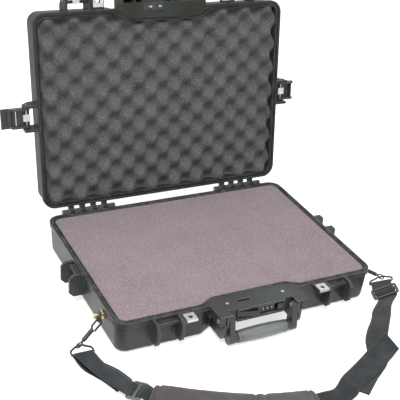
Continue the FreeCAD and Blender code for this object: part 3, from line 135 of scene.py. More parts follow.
class Graph:
    """A node tree that is filled through one method."""

    def __init__(self, owner: Union[bpy.types.Material, bpy.types.World]) -> None:
        """Empty the owner's node tree.

        Args:
            owner: Material or world that the tree belongs to.
        """
        owner.use_nodes = True
        self.tree = owner.node_tree
        self.tree.nodes.clear()

    def node(self, kind: str, settings: dict[str, object], values: dict[Union[str, int], Link],
             output: Union[str, int] = 0) -> "Signal":
        """Add a node, set it up and feed its sockets.

        Args:
            kind: The node's type.
            settings: Its own settings, set first. "stops" holds a ramp's places and colours.
            values: Values or links of its input sockets, by name or number.
            output: Output socket to hand back.

        Returns:
            The chosen output, or the node's first input for an output node.
        """
        made = self.tree.nodes.new(kind)
        for name, value in settings.items():
            if name == "stops":
                stops = made.color_ramp.elements
                for index, (place, colour) in enumerate(value):
                    stop = stops[index] if index < 2 else stops.new(place)
                    stop.position = place
                    stop.color = (*colour, 1.0)
            else:
                setattr(made, name, value)
        for name, value in values.items():
            self.feed(made.inputs[name], value)
        return Signal(self, made.outputs[output] if made.outputs else made.inputs[0])

    def feed(self, socket: bpy.types.NodeSocket, value: Link) -> None:
        """Link a signal to a socket, or set the socket's own value.

        Args:
            socket: Input socket.
            value: Signal, number, colour or vector.
        """
        if isinstance(value, Signal):
            self.tree.links.new(value.socket, socket)
        elif socket.type == "RGBA":
            socket.default_value = (*value[:3], 1.0)
        else:
            socket.default_value = value

    def seen(self) -> "Signal":
        """1 for what the camera, a mirror or glass sees, and 0 for the light on the case."""
        camera, mirror, glass = (self.node("ShaderNodeLightPath", {}, {}, ray)
                                 for ray in ("Is Camera Ray", "Is Glossy Ray", "Is Transmission Ray"))
        return camera.at_least(mirror).at_least(glass)


class Paint(Graph):
    """The node tree of one material, with a Principled shader at its end."""

    def __init__(self, name: str) -> None:
        """Start an empty material.

        Args:
            name: The material's name.
        """
        self.material = bpy.data.materials.new(name)
        super().__init__(self.material)
        self.surface = self.node("ShaderNodeBsdfPrincipled", {}, {})
        self.shader = self.surface.socket.node
        self.output = self.node("ShaderNodeOutputMaterial", {}, {"Surface": self.surface})

    def place(self) -> "Signal":
        """Object coordinates, in metres."""
        return self.node("ShaderNodeTexCoord", {}, {}, "Object")

    def part(self, where: "Signal", axis: str) -> "Signal":
        """One component of a vector."""
        return self.node("ShaderNodeSeparateXYZ", {}, {"Vector": where}, axis)

    def noise(self, where: "Signal", per_metre: float, detail: float = 2.0, rough: float = 0.5) -> "Signal":
        """Cloudy noise between 0 and 1, with some octaves of detail and a weight for the finer ones."""
        values = {"Vector": where, "Scale": per_metre, "Detail": detail, "Roughness": rough}
        return self.node("ShaderNodeTexNoise", {}, values, "Fac")

    def cells(self, where: "Signal", per_metre: float) -> "Signal":
        """Distance to the nearest of scattered points, for pores and pebbles."""
        return self.node("ShaderNodeTexVoronoi", {}, {"Vector": where, "Scale": per_metre}, "Distance")

    def dot(self, where: "Signal", direction: Link) -> "Signal":
        """Length of one vector along another."""
        return self.node("ShaderNodeVectorMath", {"operation": "DOT_PRODUCT"}, {0: where, 1: direction},
                         "Value")

    def mix(self, share: Link, first: Link, second: Link) -> "Signal":
        """Blend of two colours, from the first at a share of 0 to the second at 1."""
        return self.node("ShaderNodeMix", {"data_type": "RGBA"}, {0: share, 6: first, 7: second}, 2)

    def edges(self, radius: float) -> tuple["Signal", "Signal"]:
        """Rounded normal, and a mask that is 1 where the surface turns sharply.

        Args:
            radius: Radius of the rounding in millimetres.

        Returns:
            The rounded normal and the mask.
        """
        soft = self.node("ShaderNodeBevel", {"samples": 6}, {"Radius": radius * MM})
        flat = self.node("ShaderNodeNewGeometry", {}, {}, "Normal")
        return soft, (1.0 - self.dot(soft, flat)).between(*SHARP)

    def bump(self, height: "Signal", depth: float, normal: Union[Link, None] = None) -> "Signal":
        """Normal of a surface raised by a height of 0 to 1.

        Args:
            height: Height pattern.
            depth: Depth of the pattern in millimetres.
            normal: Normal underneath, if any.

        Returns:
            The new normal.
        """
        values = {"Strength": 1.0, "Distance": depth * MM, "Height": height}
        if normal is not None:
            values["Normal"] = normal
        return self.node("ShaderNodeBump", {}, values)

    def dress(self, **values: Link) -> bpy.types.Material:
        """Feed the shader's sockets, named with underscores for spaces.

        Args:
            values: Value or link of each socket.

        Returns:
            The finished material.
        """
        for name, value in values.items():
            self.feed(self.shader.inputs[name.replace("_", " ")], value)
        return self.material


@dataclass(frozen=True)
class LidSwing:
    """The lid's turn from closed to open about its hinge pins."""

    axis_y: float = 193.7
    axis_z: float = 63.4
    open_deg: float = 98.5

    def matrix(self) -> Matrix:
        """Turn that carries closed lid pieces to where the frame holds them."""
        anchor = Vector((0, self.axis_y * MM, self.axis_z * MM))
        return (Matrix.Translation(anchor) @ Matrix.Rotation(math.radians(-self.open_deg), 4, "X")
                @ Matrix.Translation(-anchor))


# ---------------------------------------------------------------- finishes

def tinted(colour: Colour, tint: Colour) -> Colour:
    """Colour with each channel scaled."""
    return tuple(part * share for part, share in zip(colour, tint))


@dataclass(frozen=True)
class Rim:
    """Dark sealing line round a shell's rim, found from the rim's plane and its stepped outline."""

    normal: tuple[float, float, float]
    level: float
    forward: tuple[float, float, float]
    middle: float = 0.0
    half_width: float = 249.0
    half_depth: float = 179.2
    corner: float = 19.5
    line: float = 4.0
    low: float = -3.2
    high: float = -2.4
    inner_blur: float = 0.5
    outer_blur: float = 0.3
    jog_inner: float = 71.0
    jog_outer: float = 95.0
    jog_depth: float = 14.0

    def mask(self, paint: "Paint", where: "Signal") -> "Signal":
        """Part of the surface that the line covers, as 0 to 1.

        Args:
            paint: Paint that the nodes go into.
            where: Object coordinates.

        Returns:
            The mask.
        """
        near = (paint.dot(where, self.normal) - self.level * MM).between(self.low * MM, self.high * MM)
        along = paint.dot(where, self.forward) - self.middle * MM
        wide = paint.dot(where, (1.0, 0.0, 0.0)).size()
        step = (1.0 - wide.between(self.jog_inner * MM, self.jog_outer * MM)) * along.between(0.0, MM)
        reach = (along + step * (self.jog_depth * MM)).size()
        past_x = (wide - (self.half_width - self.corner) * MM).at_least(0.0)
        past_y = (reach - (self.half_depth - self.corner) * MM).at_least(0.0)
        outward = (past_x * past_x + past_y * past_y).root()
        edge = self.corner - self.line
        inner = outward.between((edge - self.inner_blur) * MM, edge * MM)
        outer = outward.between((self.corner - self.outer_blur) * MM, (self.corner + self.outer_blur) * MM)
        return near * inner * (1.0 - outer)


@dataclass(frozen=True)
class Moulded:
    """Moulded plastic or rubber: pebbled skin, cloudy colour, and sharp edges painted a little lighter,
    partly as wear and partly as painted highlight.
    """

    name: str
    colour: Colour
    wear_and_highlight_colour: Colour
    roughness: float = 0.5
    pebble: float = 0.05
    pebbles_per_metre: float = 1500.0
    edge: float = 0.5
    # Share of the pale edge colour, which is partly wear and partly painted highlight.
    wear_and_highlight: float = 0.5
    specular: float = 0.5
    rim: Union[Rim, None] = None
    clouds_per_metre: float = 14.0
    smears_per_metre: float = 55.0
    warm_tint: Colour = (0.86, 0.8, 0.7)
    cool_tint: Colour = (1.08, 1.16, 1.14)
    rim_tint: Colour = (0.25, 0.25, 0.25)
    rim_cover: float = 0.92
    cloud_span: tuple[float, float] = (0.36, 0.64)
    smear_span: tuple[float, float] = (0.35, 0.6)
    patchiness: float = 0.18

    def material(self) -> bpy.types.Material:
        """Build the material.

        Returns:
            The finished material.
        """
        paint = Paint(self.name)
        where = paint.place()
        cloud = paint.noise(where, self.clouds_per_metre, detail=3.0)
        smear = paint.noise(where, self.smears_per_metre, detail=4.0, rough=0.62)
        pebble = paint.cells(where, self.pebbles_per_metre)
        soft, sharp = paint.edges(self.edge)
        body = paint.mix(cloud.between(*self.cloud_span), tinted(self.colour, self.warm_tint),
                         tinted(self.colour, self.cool_tint))
        if self.rim:
            line = self.rim.mask(paint, where) * self.rim_cover
            body = paint.mix(line, body, tinted(self.colour, self.rim_tint))
        # Sharp edges painted paler: partly wear, partly painted highlight along the edges.
        body = paint.mix(sharp * smear.between(*self.smear_span) * self.wear_and_highlight, body, self.wear_and_highlight_colour)
        normal = paint.bump(pebble, self.pebble, soft)
        return paint.dress(Base_Color=body, Roughness=self.roughness + (smear - 0.5) * self.patchiness,
                           Normal=normal, Specular_IOR_Level=self.specular)


@dataclass(frozen=True)
class Metal:
    """Bare or plated metal: fine drawn lines, and grime in the clouds of the colour."""

    name: str
    colour: Colour
    grime: Colour
    roughness: float = 0.3
    metallic: float = 1.0
    lines: float = 0.02
    lines_per_metre: tuple[float, float, float] = (120.0, 1600.0, 1600.0)
    clouds_per_metre: float = 180.0
    cloud_span: tuple[float, float] = (0.42, 0.72)
    grime_cover: float = 0.7
    edge: float = 0.25
    edge_cover: float = 0.5
    edge_gain: float = 1.25
    brightest: float = 0.95

    def material(self) -> bpy.types.Material:
        """Build the material.

        Returns:
            The finished material.
        """
        paint = Paint(self.name)
        where = paint.place()
        drawn = paint.node("ShaderNodeMapping", {}, {"Vector": where, "Scale": self.lines_per_metre})
        lines = paint.noise(drawn, 1.0, detail=2.0)
        cloud = paint.noise(where, self.clouds_per_metre, detail=3.0, rough=0.6)
        soft, sharp = paint.edges(self.edge)
        body = paint.mix(cloud.between(*self.cloud_span) * self.grime_cover, self.colour, self.grime)
        bright = tuple(min(part * self.edge_gain, self.brightest) for part in self.colour)
        body = paint.mix(sharp * self.edge_cover, body, bright)
        return paint.dress(Base_Color=body, Metallic=self.metallic,
                           Roughness=self.roughness + cloud * 0.2 - 0.05,
                           Normal=paint.bump(lines, self.lines, soft))


@dataclass(frozen=True)
class CellFoam:
    """Open-cell foam: pores, pale specks and slow colour clouds."""

    name: str
    colour: Colour
    speck: Colour
    pores_per_metre: float = 700.0
    depth: float = 0.5
    cloud: float = 0.12
    clouds_per_metre: float = 18.0
    cloud_span: tuple[float, float] = (0.3, 0.72)
    speck_span: tuple[float, float] = (0.5, 0.7)
    pore_size: float = 0.6
    specular: float = 0.08
    sheen: float = 0.08

    def material(self) -> bpy.types.Material:
        """Build the material.

        Returns:
            The finished material.
        """
        paint = Paint(self.name)
        where = paint.place()
        pores = paint.cells(where, self.pores_per_metre)
        dust = paint.noise(where, self.pores_per_metre * 0.8, detail=2.0, rough=0.7)
        cloud = paint.noise(where, self.clouds_per_metre, detail=4.0, rough=0.55)
        dark = tuple(part * (1.0 - 2.2 * self.cloud) for part in self.colour)
        body = paint.mix(cloud.between(*self.cloud_span), dark, self.colour)
        body = paint.mix(dust.between(*self.speck_span), body, self.speck)
        height = (1.0 - pores.between(0.0, self.pore_size)) * 0.6 + dust * 0.6
        return paint.dress(Base_Color=body, Roughness=0.93 + (dust - 0.5) * 0.1,
                           Normal=paint.bump(height, self.depth), Specular_IOR_Level=self.specular,
                           Sheen_Weight=self.sheen, Sheen_Roughness=0.6)


@dataclass(frozen=True)
class Woven:
    """Flat woven webbing, read from the band's own map: fine cross ribs and a doubled selvedge."""

    name: str
    colour: Colour
    lit: Colour
    width: float = 38.0
    rib: float = 1.5
    yarn: float = 1.1
    wave: float = 5.0
    sway: float = 0.9
    selvedge: tuple[float, float] = (0.86, 0.93)
    depth: float = 0.28
    fuzz_per_metre: float = 900.0
    dust_per_metre: float = 26.0
    dust_span: tuple[float, float] = (0.4, 0.75)
    shade: float = 0.62

    def material(self) -> bpy.types.Material:
        """Build the material.

        Returns:
            The finished material.
        """
        paint = Paint(self.name)
        sheet = paint.node("ShaderNodeUVMap", {"uv_map": "band"}, {})
        along = paint.part(sheet, "X")
        across = paint.part(sheet, "Y")
        turn = 2 * math.pi / MM
        slant = (across * (turn / self.wave)).sine() * self.sway
        ribs = (along * (turn / self.rib) + slant).sine() * 0.5 + 0.5
        yarns = (across * (turn / self.yarn)).sine() * 0.5 + 0.5
        fuzz = paint.noise(sheet, self.fuzz_per_metre, detail=3.0, rough=0.65)
        dust = paint.noise(sheet, self.dust_per_metre, detail=3.0, rough=0.55)
        rim = ((across - self.width * MM / 2).size() * (2 / (self.width * MM))).between(*self.selvedge)
        height = ribs * 0.55 + yarns * 0.3 + fuzz * 0.35 + rim * 0.25
        dark = tuple(part * self.shade for part in self.colour)
        body = paint.mix(ribs * 0.35 + fuzz * 0.45, dark, self.colour)
        body = paint.mix(dust.between(*self.dust_span) * 0.5 + rim * 0.25, body, self.lit)
        return paint.dress(Base_Color=body, Roughness=0.82 + fuzz * 0.12,
                           Normal=paint.bump(height, self.depth), Specular_IOR_Level=0.25,
                           Sheen_Weight=0.15, Sheen_Roughness=0.45)


@dataclass(frozen=True)
class PadCloth:
    """Plain-woven cover cloth of the pad, with a warm cast towards one end."""

    name: str
    warm: Colour
    plain: Colour
    thread: float = 0.9
    warp: tuple[float, float] = (0.93, -0.36)
    fuzz_per_metre: float = 1300.0
    crush_per_metre: float = 42.0
    crush_span: tuple[float, float] = (0.45, 0.8)
    depth: float = 0.3
    shade: float = 0.42
    shade_colour: Colour = (0.01, 0.01, 0.01)
    crush_gain: float = 1.5
    warm_until: float = -120.0
    plain_from: float = -30.0

    def material(self) -> bpy.types.Material:
        """Build the material.

        Returns:
            The finished material.
        """
        paint = Paint(self.name)
        where = paint.place()
        x = paint.part(where, "X")
        y = paint.part(where, "Y")
        turn = 2 * math.pi / (self.thread * MM)
        near, far = self.warp
        weave = ((x * near + y * far) * turn).sine() * ((y * near - x * far) * turn).sine() * 0.5 + 0.5
        fuzz = paint.noise(where, self.fuzz_per_metre, detail=2.0, rough=0.6)
        crush = paint.noise(where, self.crush_per_metre, detail=3.0, rough=0.55)
        cast = x.between(self.warm_until * MM, self.plain_from * MM)
        body = paint.mix(cast, self.warm, self.plain)
        dark = paint.mix(self.shade, body, self.shade_colour)
        body = paint.mix(weave * 0.5 + fuzz * 0.4 + 0.1, dark, body)
        pale = tuple(part * self.crush_gain for part in self.plain)
        body = paint.mix(crush.between(*self.crush_span) * 0.3, body, pale)
        return paint.dress(Base_Color=body, Roughness=0.88 + fuzz * 0.08,
                           Normal=paint.bump(weave * 0.6 + fuzz * 0.4 + crush * 1.2, self.depth),
                           Specular_IOR_Level=0.2, Sheen_Weight=0.2, Sheen_Roughness=0.5)


class Finishes:
    """Every finish on the case, made once."""

    def __init__(self) -> None:
        """Build all the materials."""
        self.shells()
        self.fittings()
        self.metals()
        self.soft()

    def shells(self) -> None:
        """Pebbled plastic of the base and the lid, with the dark sealing line on each rim."""
        turn = LidSwing().matrix().to_3x3()
        closed = LidSwing().matrix() @ Vector((0, 0, LID_RIM * MM))
        down = turn @ Vector((0, 0, -1))
        ahead = turn @ Vector((0, -1, 0))
        base_rim = Rim((0.0, 0.0, 1.0), BASE_RIM, (0.0, -1.0, 0.0))
        lid_rim = Rim(tuple(down), closed.dot(down) / MM, tuple(ahead), closed.dot(ahead) / MM)
        self.base_shell = Moulded("base_case_shell", SHELL, WEAR_AND_HIGHLIGHT, roughness=0.42, pebbles_per_metre=1300.0,
                                  edge=1.1, wear_and_highlight=1.0, specular=0.4, rim=base_rim).material()
        self.lid_shell = Moulded("lid_case_shell", SHELL, WEAR_AND_HIGHLIGHT, roughness=0.46, pebbles_per_metre=1300.0,
                                 edge=0.8, wear_and_highlight=0.9, specular=0.1, rim=lid_rim).material()

    def fittings(self) -> None:
        """Plastic and rubber of the latches, lock, grip, slides and seal, and the numerals' paint."""
        self.latch = Moulded("latch_plastic", (0.032, 0.034, 0.035), WEAR_AND_HIGHLIGHT, roughness=0.38, pebble=0.03,
                             pebbles_per_metre=1700.0, wear_and_highlight=0.6).material()
        # The lock's pale edges paint a highlight line round its button, along with some wear.
        self.lock = Moulded("lock_plastic", (0.012, 0.012, 0.013), (0.3, 0.3, 0.3), roughness=0.34,
                            pebble=0.02, pebbles_per_metre=1700.0, edge=0.45, wear_and_highlight=0.9).material()
        self.grip = Moulded("grip_plastic", (0.128, 0.136, 0.134), (0.34, 0.36, 0.35), roughness=0.25,
                            pebble=0.012, pebbles_per_metre=1000.0, wear_and_highlight=0.08, specular=0.8).material()
        self.slide_light = Moulded("slide_light_plastic", (0.13, 0.138, 0.134), (0.3, 0.31, 0.3),
                                   roughness=0.36, pebble=0.03, pebbles_per_metre=1300.0, edge=0.45,
                                   wear_and_highlight=0.55).material()
        self.slide_dark = Moulded("slide_dark_plastic", (0.03, 0.032, 0.031), (0.14, 0.15, 0.145),
                                  roughness=0.36, pebble=0.03, pebbles_per_metre=1300.0, edge=0.45,
                                  wear_and_highlight=0.4).material()
        self.gasket = Moulded("gasket_rubber", (0.022, 0.022, 0.023), (0.06, 0.06, 0.06), roughness=0.6,
                              pebbles_per_metre=900.0, edge=0.4, wear_and_highlight=0.2).material()
        self.numeral = Moulded("numeral_paint", (0.8, 0.74, 0.5), (0.85, 0.8, 0.6), pebble=0.02,
                               pebbles_per_metre=900.0, edge=0.1, wear_and_highlight=0.3).material()

    def metals(self) -> None:
        """Steel, pins, brass and black plating."""
        self.steel = Metal("stamped_steel", (0.6, 0.615, 0.605), (0.36, 0.37, 0.365),
                           metallic=0.75).material()
        self.pin = Metal("drawn_pin", (0.5, 0.5, 0.5), (0.25, 0.25, 0.25), roughness=0.28).material()
        self.brass = Metal("aged_brass", (0.52, 0.43, 0.24), (0.2, 0.15, 0.08)).material()
        self.black_metal = Metal("black_plating", (0.06, 0.06, 0.058), (0.02, 0.02, 0.02), roughness=0.34,
                                 metallic=0.55).material()

    def soft(self) -> None:
        """Foams, webbing, the pad's cloth and its thread."""
        self.base_foam = CellFoam("base_foam", (0.246, 0.193, 0.218), (0.38, 0.315, 0.347),
                                  pores_per_metre=520.0, cloud=0.07).material()
        self.lid_foam = CellFoam("lid_foam", (0.1, 0.102, 0.096), (0.19, 0.192, 0.182), pores_per_metre=520.0,
                                 depth=0.7, cloud=0.13).material()
        self.webbing = Woven("strap_webbing_olive", (0.041, 0.044, 0.043), (0.075, 0.08, 0.078)).material()
        self.webbing_blue = Woven("strap_webbing_blue", (0.027, 0.031, 0.034),
                                  (0.075, 0.083, 0.088)).material()
        self.pad = PadCloth("pad_cloth", (0.088, 0.074, 0.08), (0.105, 0.104, 0.105)).material()
        self.thread = Moulded("sewing_thread", (0.03, 0.028, 0.03), (0.1, 0.1, 0.1), roughness=0.75,
                              pebbles_per_metre=4000.0, edge=0.1, wear_and_highlight=0.2).material()


def dress_nodes(finishes: Finishes) -> None:
    """Give each CAD node that stays the finish of its material.

    Args:
        finishes: The materials.
    """
    by_word = (
        ("padlock_plates", finishes.steel), ("hasp_plate", finishes.black_metal),
        ("hasp_hooks", finishes.steel), ("clip", finishes.steel), ("deck_screws", finishes.steel),
        ("lever_pin", finishes.pin), ("pins", finishes.pin), ("spindle", finishes.pin),
        ("rivets", finishes.steel), ("studs", finishes.brass), ("rings", finishes.black_metal),
        ("snap_", finishes.black_metal), ("strap_loop", finishes.black_metal),
        ("glide_left", finishes.slide_light), ("glide_right", finishes.slide_dark),
        ("webbing", finishes.webbing), ("shoulder_pad", finishes.pad), ("base_foam", finishes.base_foam),
        ("lid_foam", finishes.lid_foam), ("gasket", finishes.gasket), ("latch_", finishes.latch),
        ("handle_grip", finishes.grip), ("handle_frame", finishes.latch), ("lock_", finishes.lock),
        ("base_shell", finishes.base_shell), ("lid_shell", finishes.lid_shell),
    )
    for name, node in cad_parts.items():
        finish = next(material for word, material in by_word if word in name)
        for cell in node.material_slots:
            cell.material = finish
        log.info("node %s wears %s", name, finish.name)


# ---------------------------------------------------------------- mesh tools

@dataclass
class Work:
    """A bmesh on its way to a finished piece."""

    mesh: bmesh.types.BMesh = field(default_factory=bmesh.new)

    def turn(self, matrix: Matrix) -> "Work":
        """Transform every vertex."""
        bmesh.ops.transform(self.mesh, matrix=matrix, verts=self.mesh.verts)
        return self

    def move(self, shift: Callable[[Vector], Vector]) -> "Work":
        """Move each vertex to where a rule sends it.

        Args:
            shift: Takes a vertex's place and returns its new one.

        Returns:
            This work.
        """
        for vert in self.mesh.verts:
            vert.co = shift(vert.co)
        return self

    def weld(self, distance: float = 0.01) -> "Work":
        """Merge doubles and turn the faces outwards.

        Args:
            distance: Furthest that two doubles may lie apart, in millimetres.

        Returns:
            This work.
        """
        bmesh.ops.remove_doubles(self.mesh, verts=self.mesh.verts, dist=distance * MM)
        bmesh.ops.recalc_face_normals(self.mesh, faces=self.mesh.faces)
        return self

    def add(self, other: "Work") -> "Work":
        """Join another work's mesh to this one.

        Args:
            other: Work that is used up.

        Returns:
            This work.
        """
        spare = bpy.data.meshes.new("spare")
        other.mesh.to_mesh(spare)
        other.mesh.free()
        self.mesh.from_mesh(spare)
        bpy.data.meshes.remove(spare)
        return self

    def finish(self, name: str, material: bpy.types.Material, body: Rides, slot: str,
               replaces: Sequence[str] = (), smooth: float = 35.0) -> bpy.types.Object:
        """Make the piece, let it ride on its body and stand for its nodes.

        Args:
            name: The piece's name.
            material: Its finish.
            body: Body that it moves with.
            slot: The record's material slot; not used.
            replaces: CAD nodes that it stands for.
            smooth: Edges sharper than this many degrees stay sharp.

        Returns:
            The finished object.
        """
        data = bpy.data.meshes.new(name)
        self.mesh.to_mesh(data)
        self.mesh.free()
        data.shade_smooth()
        data.set_sharp_from_angle(angle=math.radians(smooth))
        data.materials.append(material)
        piece = bpy.data.objects.new(name, data)
        bpy.context.scene.collection.objects.link(piece)
        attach(piece, body.value)
        if replaces:
            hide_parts(*replaces)
        log.info("%s: %d faces on %s", name, len(data.polygons), body.value)
        return piece


def rod(start: Vector, end: Vector, radius: float, sides: int = 16) -> Work:
    """Round bar between two points.

    Args:
        start: First end in millimetres.
        end: Second end.
        radius: Radius in millimetres.
        sides: Sides of its section.

    Returns:
        The bar as a work, in metres.
    """
    work = Work()
    span = end - start
    bmesh.ops.create_cone(work.mesh, cap_ends=True, segments=sides, radius1=radius * MM, radius2=radius * MM,
                          depth=span.length * MM)
    facing = span.to_track_quat("Z", "Y").to_matrix().to_4x4()
    return work.turn(Matrix.Translation((start + end) * (MM / 2)) @ facing)


def spun(line: Sequence[Vector], steps: int) -> Work:
    """Section in the XZ plane, closed and spun once round the X axis.

    Args:
        line: Corners of the section in millimetres.
        steps: Steps of the spin.

    Returns:
        The turned shape as a work, in metres.
    """
    work = Work()
    verts = [work.mesh.verts.new(spot * MM) for spot in line]
    edges = [work.mesh.edges.new(pair) for pair in zip(verts, verts[1:])]
    edges.append(work.mesh.edges.new((verts[-1], verts[0])))
    bmesh.ops.spin(work.mesh, geom=verts + edges, cent=(0, 0, 0), axis=(1, 0, 0), angle=2 * math.pi,
                   steps=steps, use_merge=True)
    return work


def through(points: Sequence[Vector], share: float) -> Vector:
    """Place on the smooth curve through some points.

    Args:
        points: Points that the curve passes.
        share: 0 at the first point, 1 at the last.

    Returns:
        The place.
    """
    spans = len(points) - 1
    index = min(int(share * spans), spans - 1)
    t = share * spans - index
    a, b = points[max(index - 1, 0)], points[index]
    c, d = points[index + 1], points[min(index + 2, spans)]
    bend = (2 * a - 5 * b + 4 * c - d) * t ** 2
    return 0.5 * ((2 * b) + (c - a) * t + bend + (3 * b - a - 3 * c + d) * t ** 3)


# ---------------------------------------------------------------- foams

@dataclass
class CaseInside:
    """Inside outline of both shells: a rounded oblong whose front steps in behind the handle."""

    half_width: float = 253.5
    half_depth: float = 183.7
    corner: float = 24.0
    jog_outer: float = 95.0
    jog_inner: float = 71.0
    jog_depth: float = 14.0
    jog_corner: float = 14.0
    wall: float = 10.0
    foam_gap: float = 0.6

    def plan(self, inset: float, height: float) -> Work:
        """Flat face inside the walls.

        Args:
            inset: Distance in from the rim.
            height: Height of the face.

        Returns:
            The face as a work, facing up, in metres.
        """
        work = Work()
        front = -self.half_depth
        step = front + self.jog_depth
        left = [(-self.half_width, front, self.corner), (-self.jog_outer, front, self.jog_corner),
                (-self.jog_inner, step, self.jog_corner)]
        right = [(-x, y, radius) for x, y, radius in reversed(left)]
        corners = left + right + [(self.half_width, self.half_depth, self.corner),
                                  (-self.half_width, self.half_depth, self.corner)]
        verts = [work.mesh.verts.new((x * MM, y * MM, height * MM)) for x, y, radius in corners]
        work.mesh.faces.new(verts)
        for index, (x, y, radius) in enumerate(corners):
            here = Vector((x, y))
            back = Vector(corners[index - 1][:2]) - here
            ahead = Vector(corners[(index + 1) % len(corners)][:2]) - here
            reach = radius / math.tan(back.angle(ahead) / 2)
            bmesh.ops.bevel(work.mesh, geom=[verts[index]], offset=reach * MM, offset_type="OFFSET",
                            segments=8, profile=0.5, affect="VERTICES", material=-1)
        work.mesh.faces.ensure_lookup_table()
        ring = bmesh.ops.inset_region(work.mesh, faces=work.mesh.faces[:], thickness=inset * MM,
                                      use_even_offset=True, use_boundary=True)
        bmesh.ops.delete(work.mesh, geom=ring["faces"], context="FACES")
        return work

    def block(self, low: float, high: float) -> Work:
        """Straight block between two heights, standing clear of the walls.

        Args:
            low: Height of its underside.
            high: Height of its top.

        Returns:
            The closed block as a work.
        """
        work = self.plan(self.wall + self.foam_gap, low)
        grown = bmesh.ops.extrude_face_region(work.mesh, geom=work.mesh.faces[:])
        rising = [item for item in grown["geom"] if isinstance(item, bmesh.types.BMVert)]
        bmesh.ops.translate(work.mesh, verts=rising, vec=(0, 0, (high - low) * MM))
        return work.weld()


@dataclass
class BaseFoam:
    """Flat foam of the base: the firm pad on its floor and the block above it."""

    inside: CaseInside
    floor: float = 6.2
    split: float = 18.2
    top: float = 64.4
    gap: float = 0.1
    rounding: float = 1.6

    def build(self, finishes: Finishes) -> None:
        """Build both layers.

        Args:
            finishes: The materials.
        """
        pad = self.inside.block(self.floor, self.split - self.gap)
        piece = pad.finish("base_foam_floor_pad", finishes.lid_foam, Rides.BASE, "lid_foam",
                           ["base_foam_pad"])
        block = self.inside.block(self.split, self.top)
        rims = [edge for edge in block.mesh.edges
                if all(abs(vert.co.z - self.top * MM) < NEAR for vert in edge.verts)]
        bmesh.ops.bevel(block.mesh, geom=rims, offset=self.rounding * MM, offset_type="OFFSET", segments=3,
                        profile=0.5, affect="EDGES", material=-1)
        block.weld()
        piece = block.finish("base_foam_cushion", finishes.base_foam, Rides.BASE, "base_foam",
                             ["base_foam_block"], smooth=50.0)


@dataclass
class LidFoam:
    """Egg-crate foam of the lid: staggered peaks and dimples, cut square through at its edges."""

    inside: CaseInside
    crest: float = 66.5
    back: float = 115.4
    swing: float = 9.0
    step_x: float = 25.0
    step_y: float = 24.0
    grid: float = 4.0
    flatten: float = 0.32

    def relief(self, place: Vector) -> float:
        """Height of the convoluted face, from -1 on a peak to 1 in a dimple.

        Args:
            place: Place on the foam in metres.

        Returns:
            The relief.
        """
        along = math.cos(math.pi * place.x / (self.step_x * MM))
        wave = -along * math.cos(math.pi * place.y / (self.step_y * MM))
        return wave * (1 + self.flatten - self.flatten * wave * wave)

    def build(self, finishes: Finishes) -> None:
        """Build the foam and turn it open with the lid.

        Args:
            finishes: The materials.
        """
        middle = self.crest + self.swing
        work = self.inside.block(middle, self.back)
        free = [face for face in work.mesh.faces
                if abs(face.calc_center_median().z - middle * MM) < NEAR]
        geom = list(dict.fromkeys(item for face in free for item in (face, *face.edges, *face.verts)))
        for axis, half in ((0, self.inside.half_width), (1, self.inside.half_depth)):
            normal = Vector((1 - axis, axis, 0))
            lines = int(half / self.grid)
            for index in range(-lines, lines + 1):
                place = normal * (index * self.grid * MM)
                cut = bmesh.ops.bisect_plane(work.mesh, geom=geom, dist=1e-6, plane_co=place, plane_no=normal)
                geom = cut["geom"]
        for vert in work.mesh.verts:
            if abs(vert.co.z - middle * MM) < NEAR:
                vert.co.z += self.relief(vert.co) * self.swing * MM
        work.turn(LidSwing().matrix())
        bmesh.ops.recalc_face_normals(work.mesh, faces=work.mesh.faces)
        piece = work.finish("lid_foam_egg_crate", finishes.lid_foam, Rides.LID, "lid_foam", ["lid_foam"],
                            smooth=60.0)


# ---------------------------------------------------------------- shoulder strap

LEFT_BAND: tuple[tuple[float, ...], ...] = (
    (-282.0, -262.0, 1.1, -249.0, -243.0, 1.1),
    (-294.5, -229.0, 1.1, -261.0, -211.0, 1.1),
    (-312.4, -196.0, 1.3, -278.0, -184.0, 1.1),
    (-322.9, -170.2, 13.1, -287.0, -160.9, 4.9),
    (-322.9, -169.2, 14.6, -286.9, -159.9, 6.3),
    (-322.4, -169.2, 16.4, -286.5, -160.0, 8.1),
    (-321.7, -170.7, 17.9, -285.8, -161.4, 9.6),
    (-321.2, -172.8, 17.8, -285.3, -163.5, 9.6),
    (-308.3, -209.3, 13.5, -276.5, -196.0, 4.6),
    (-296.3, -240.0, 11.5, -264.0, -219.3, 4.6),
    (-278.1, -280.7, 11.7, -252.9, -252.7, 6.6),
    (-273.3, -285.0, 11.7, -248.1, -257.0, 6.6),
    (-269.3, -289.5, 7.2, -244.1, -261.5, 2.1),
    (-266.3, -292.2, 7.2, -241.1, -264.2, 2.1),
    (-261.5, -295.7, 11.7, -236.3, -267.7, 6.6),
    (-256.7, -300.0, 11.7, -231.5, -272.0, 6.6),
    (-244.8, -311.7, 1.1, -223.2, -280.3, 1.1),
    (-237.7, -316.5, 1.1, -214.3, -286.5, 1.1),
    (-206.6, -341.3, 1.1, -185.4, -309.7, 1.1),
    (-164.8, -365.5, 1.1, -146.8, -332.1, 1.1),
    (-110.0, -393.3, 1.1, -95.2, -358.3, 1.1),
    (-66.5, -407.3, 1.1, -56.9, -370.5, 1.1),
    (-24.5, -415.9, 1.1, -18.3, -378.3, 1.1),
    (3.6, -418.8, 1.1, 6.4, -380.8, 1.1),
    (25.4, -419.5, 1.3, 26.6, -381.5, 1.3),
    (51.0, -418.0, 1.6, 44.0, -382.5, 1.6),
    (74.0, -410.0, 2.6, 56.0, -377.0, 2.6),
    (93.0, -396.5, 3.6, 75.0, -363.0, 3.6),
    (117.0, -387.0, 3.8, 100.0, -350.5, 3.8),
    (146.0, -374.0, 4.4, 129.0, -336.0, 4.4),
    (179.0, -357.0, 6.0, 162.0, -319.0, 7.0),
    (206.0, -344.0, 12.0, 204.0, -304.0, 19.0),
)
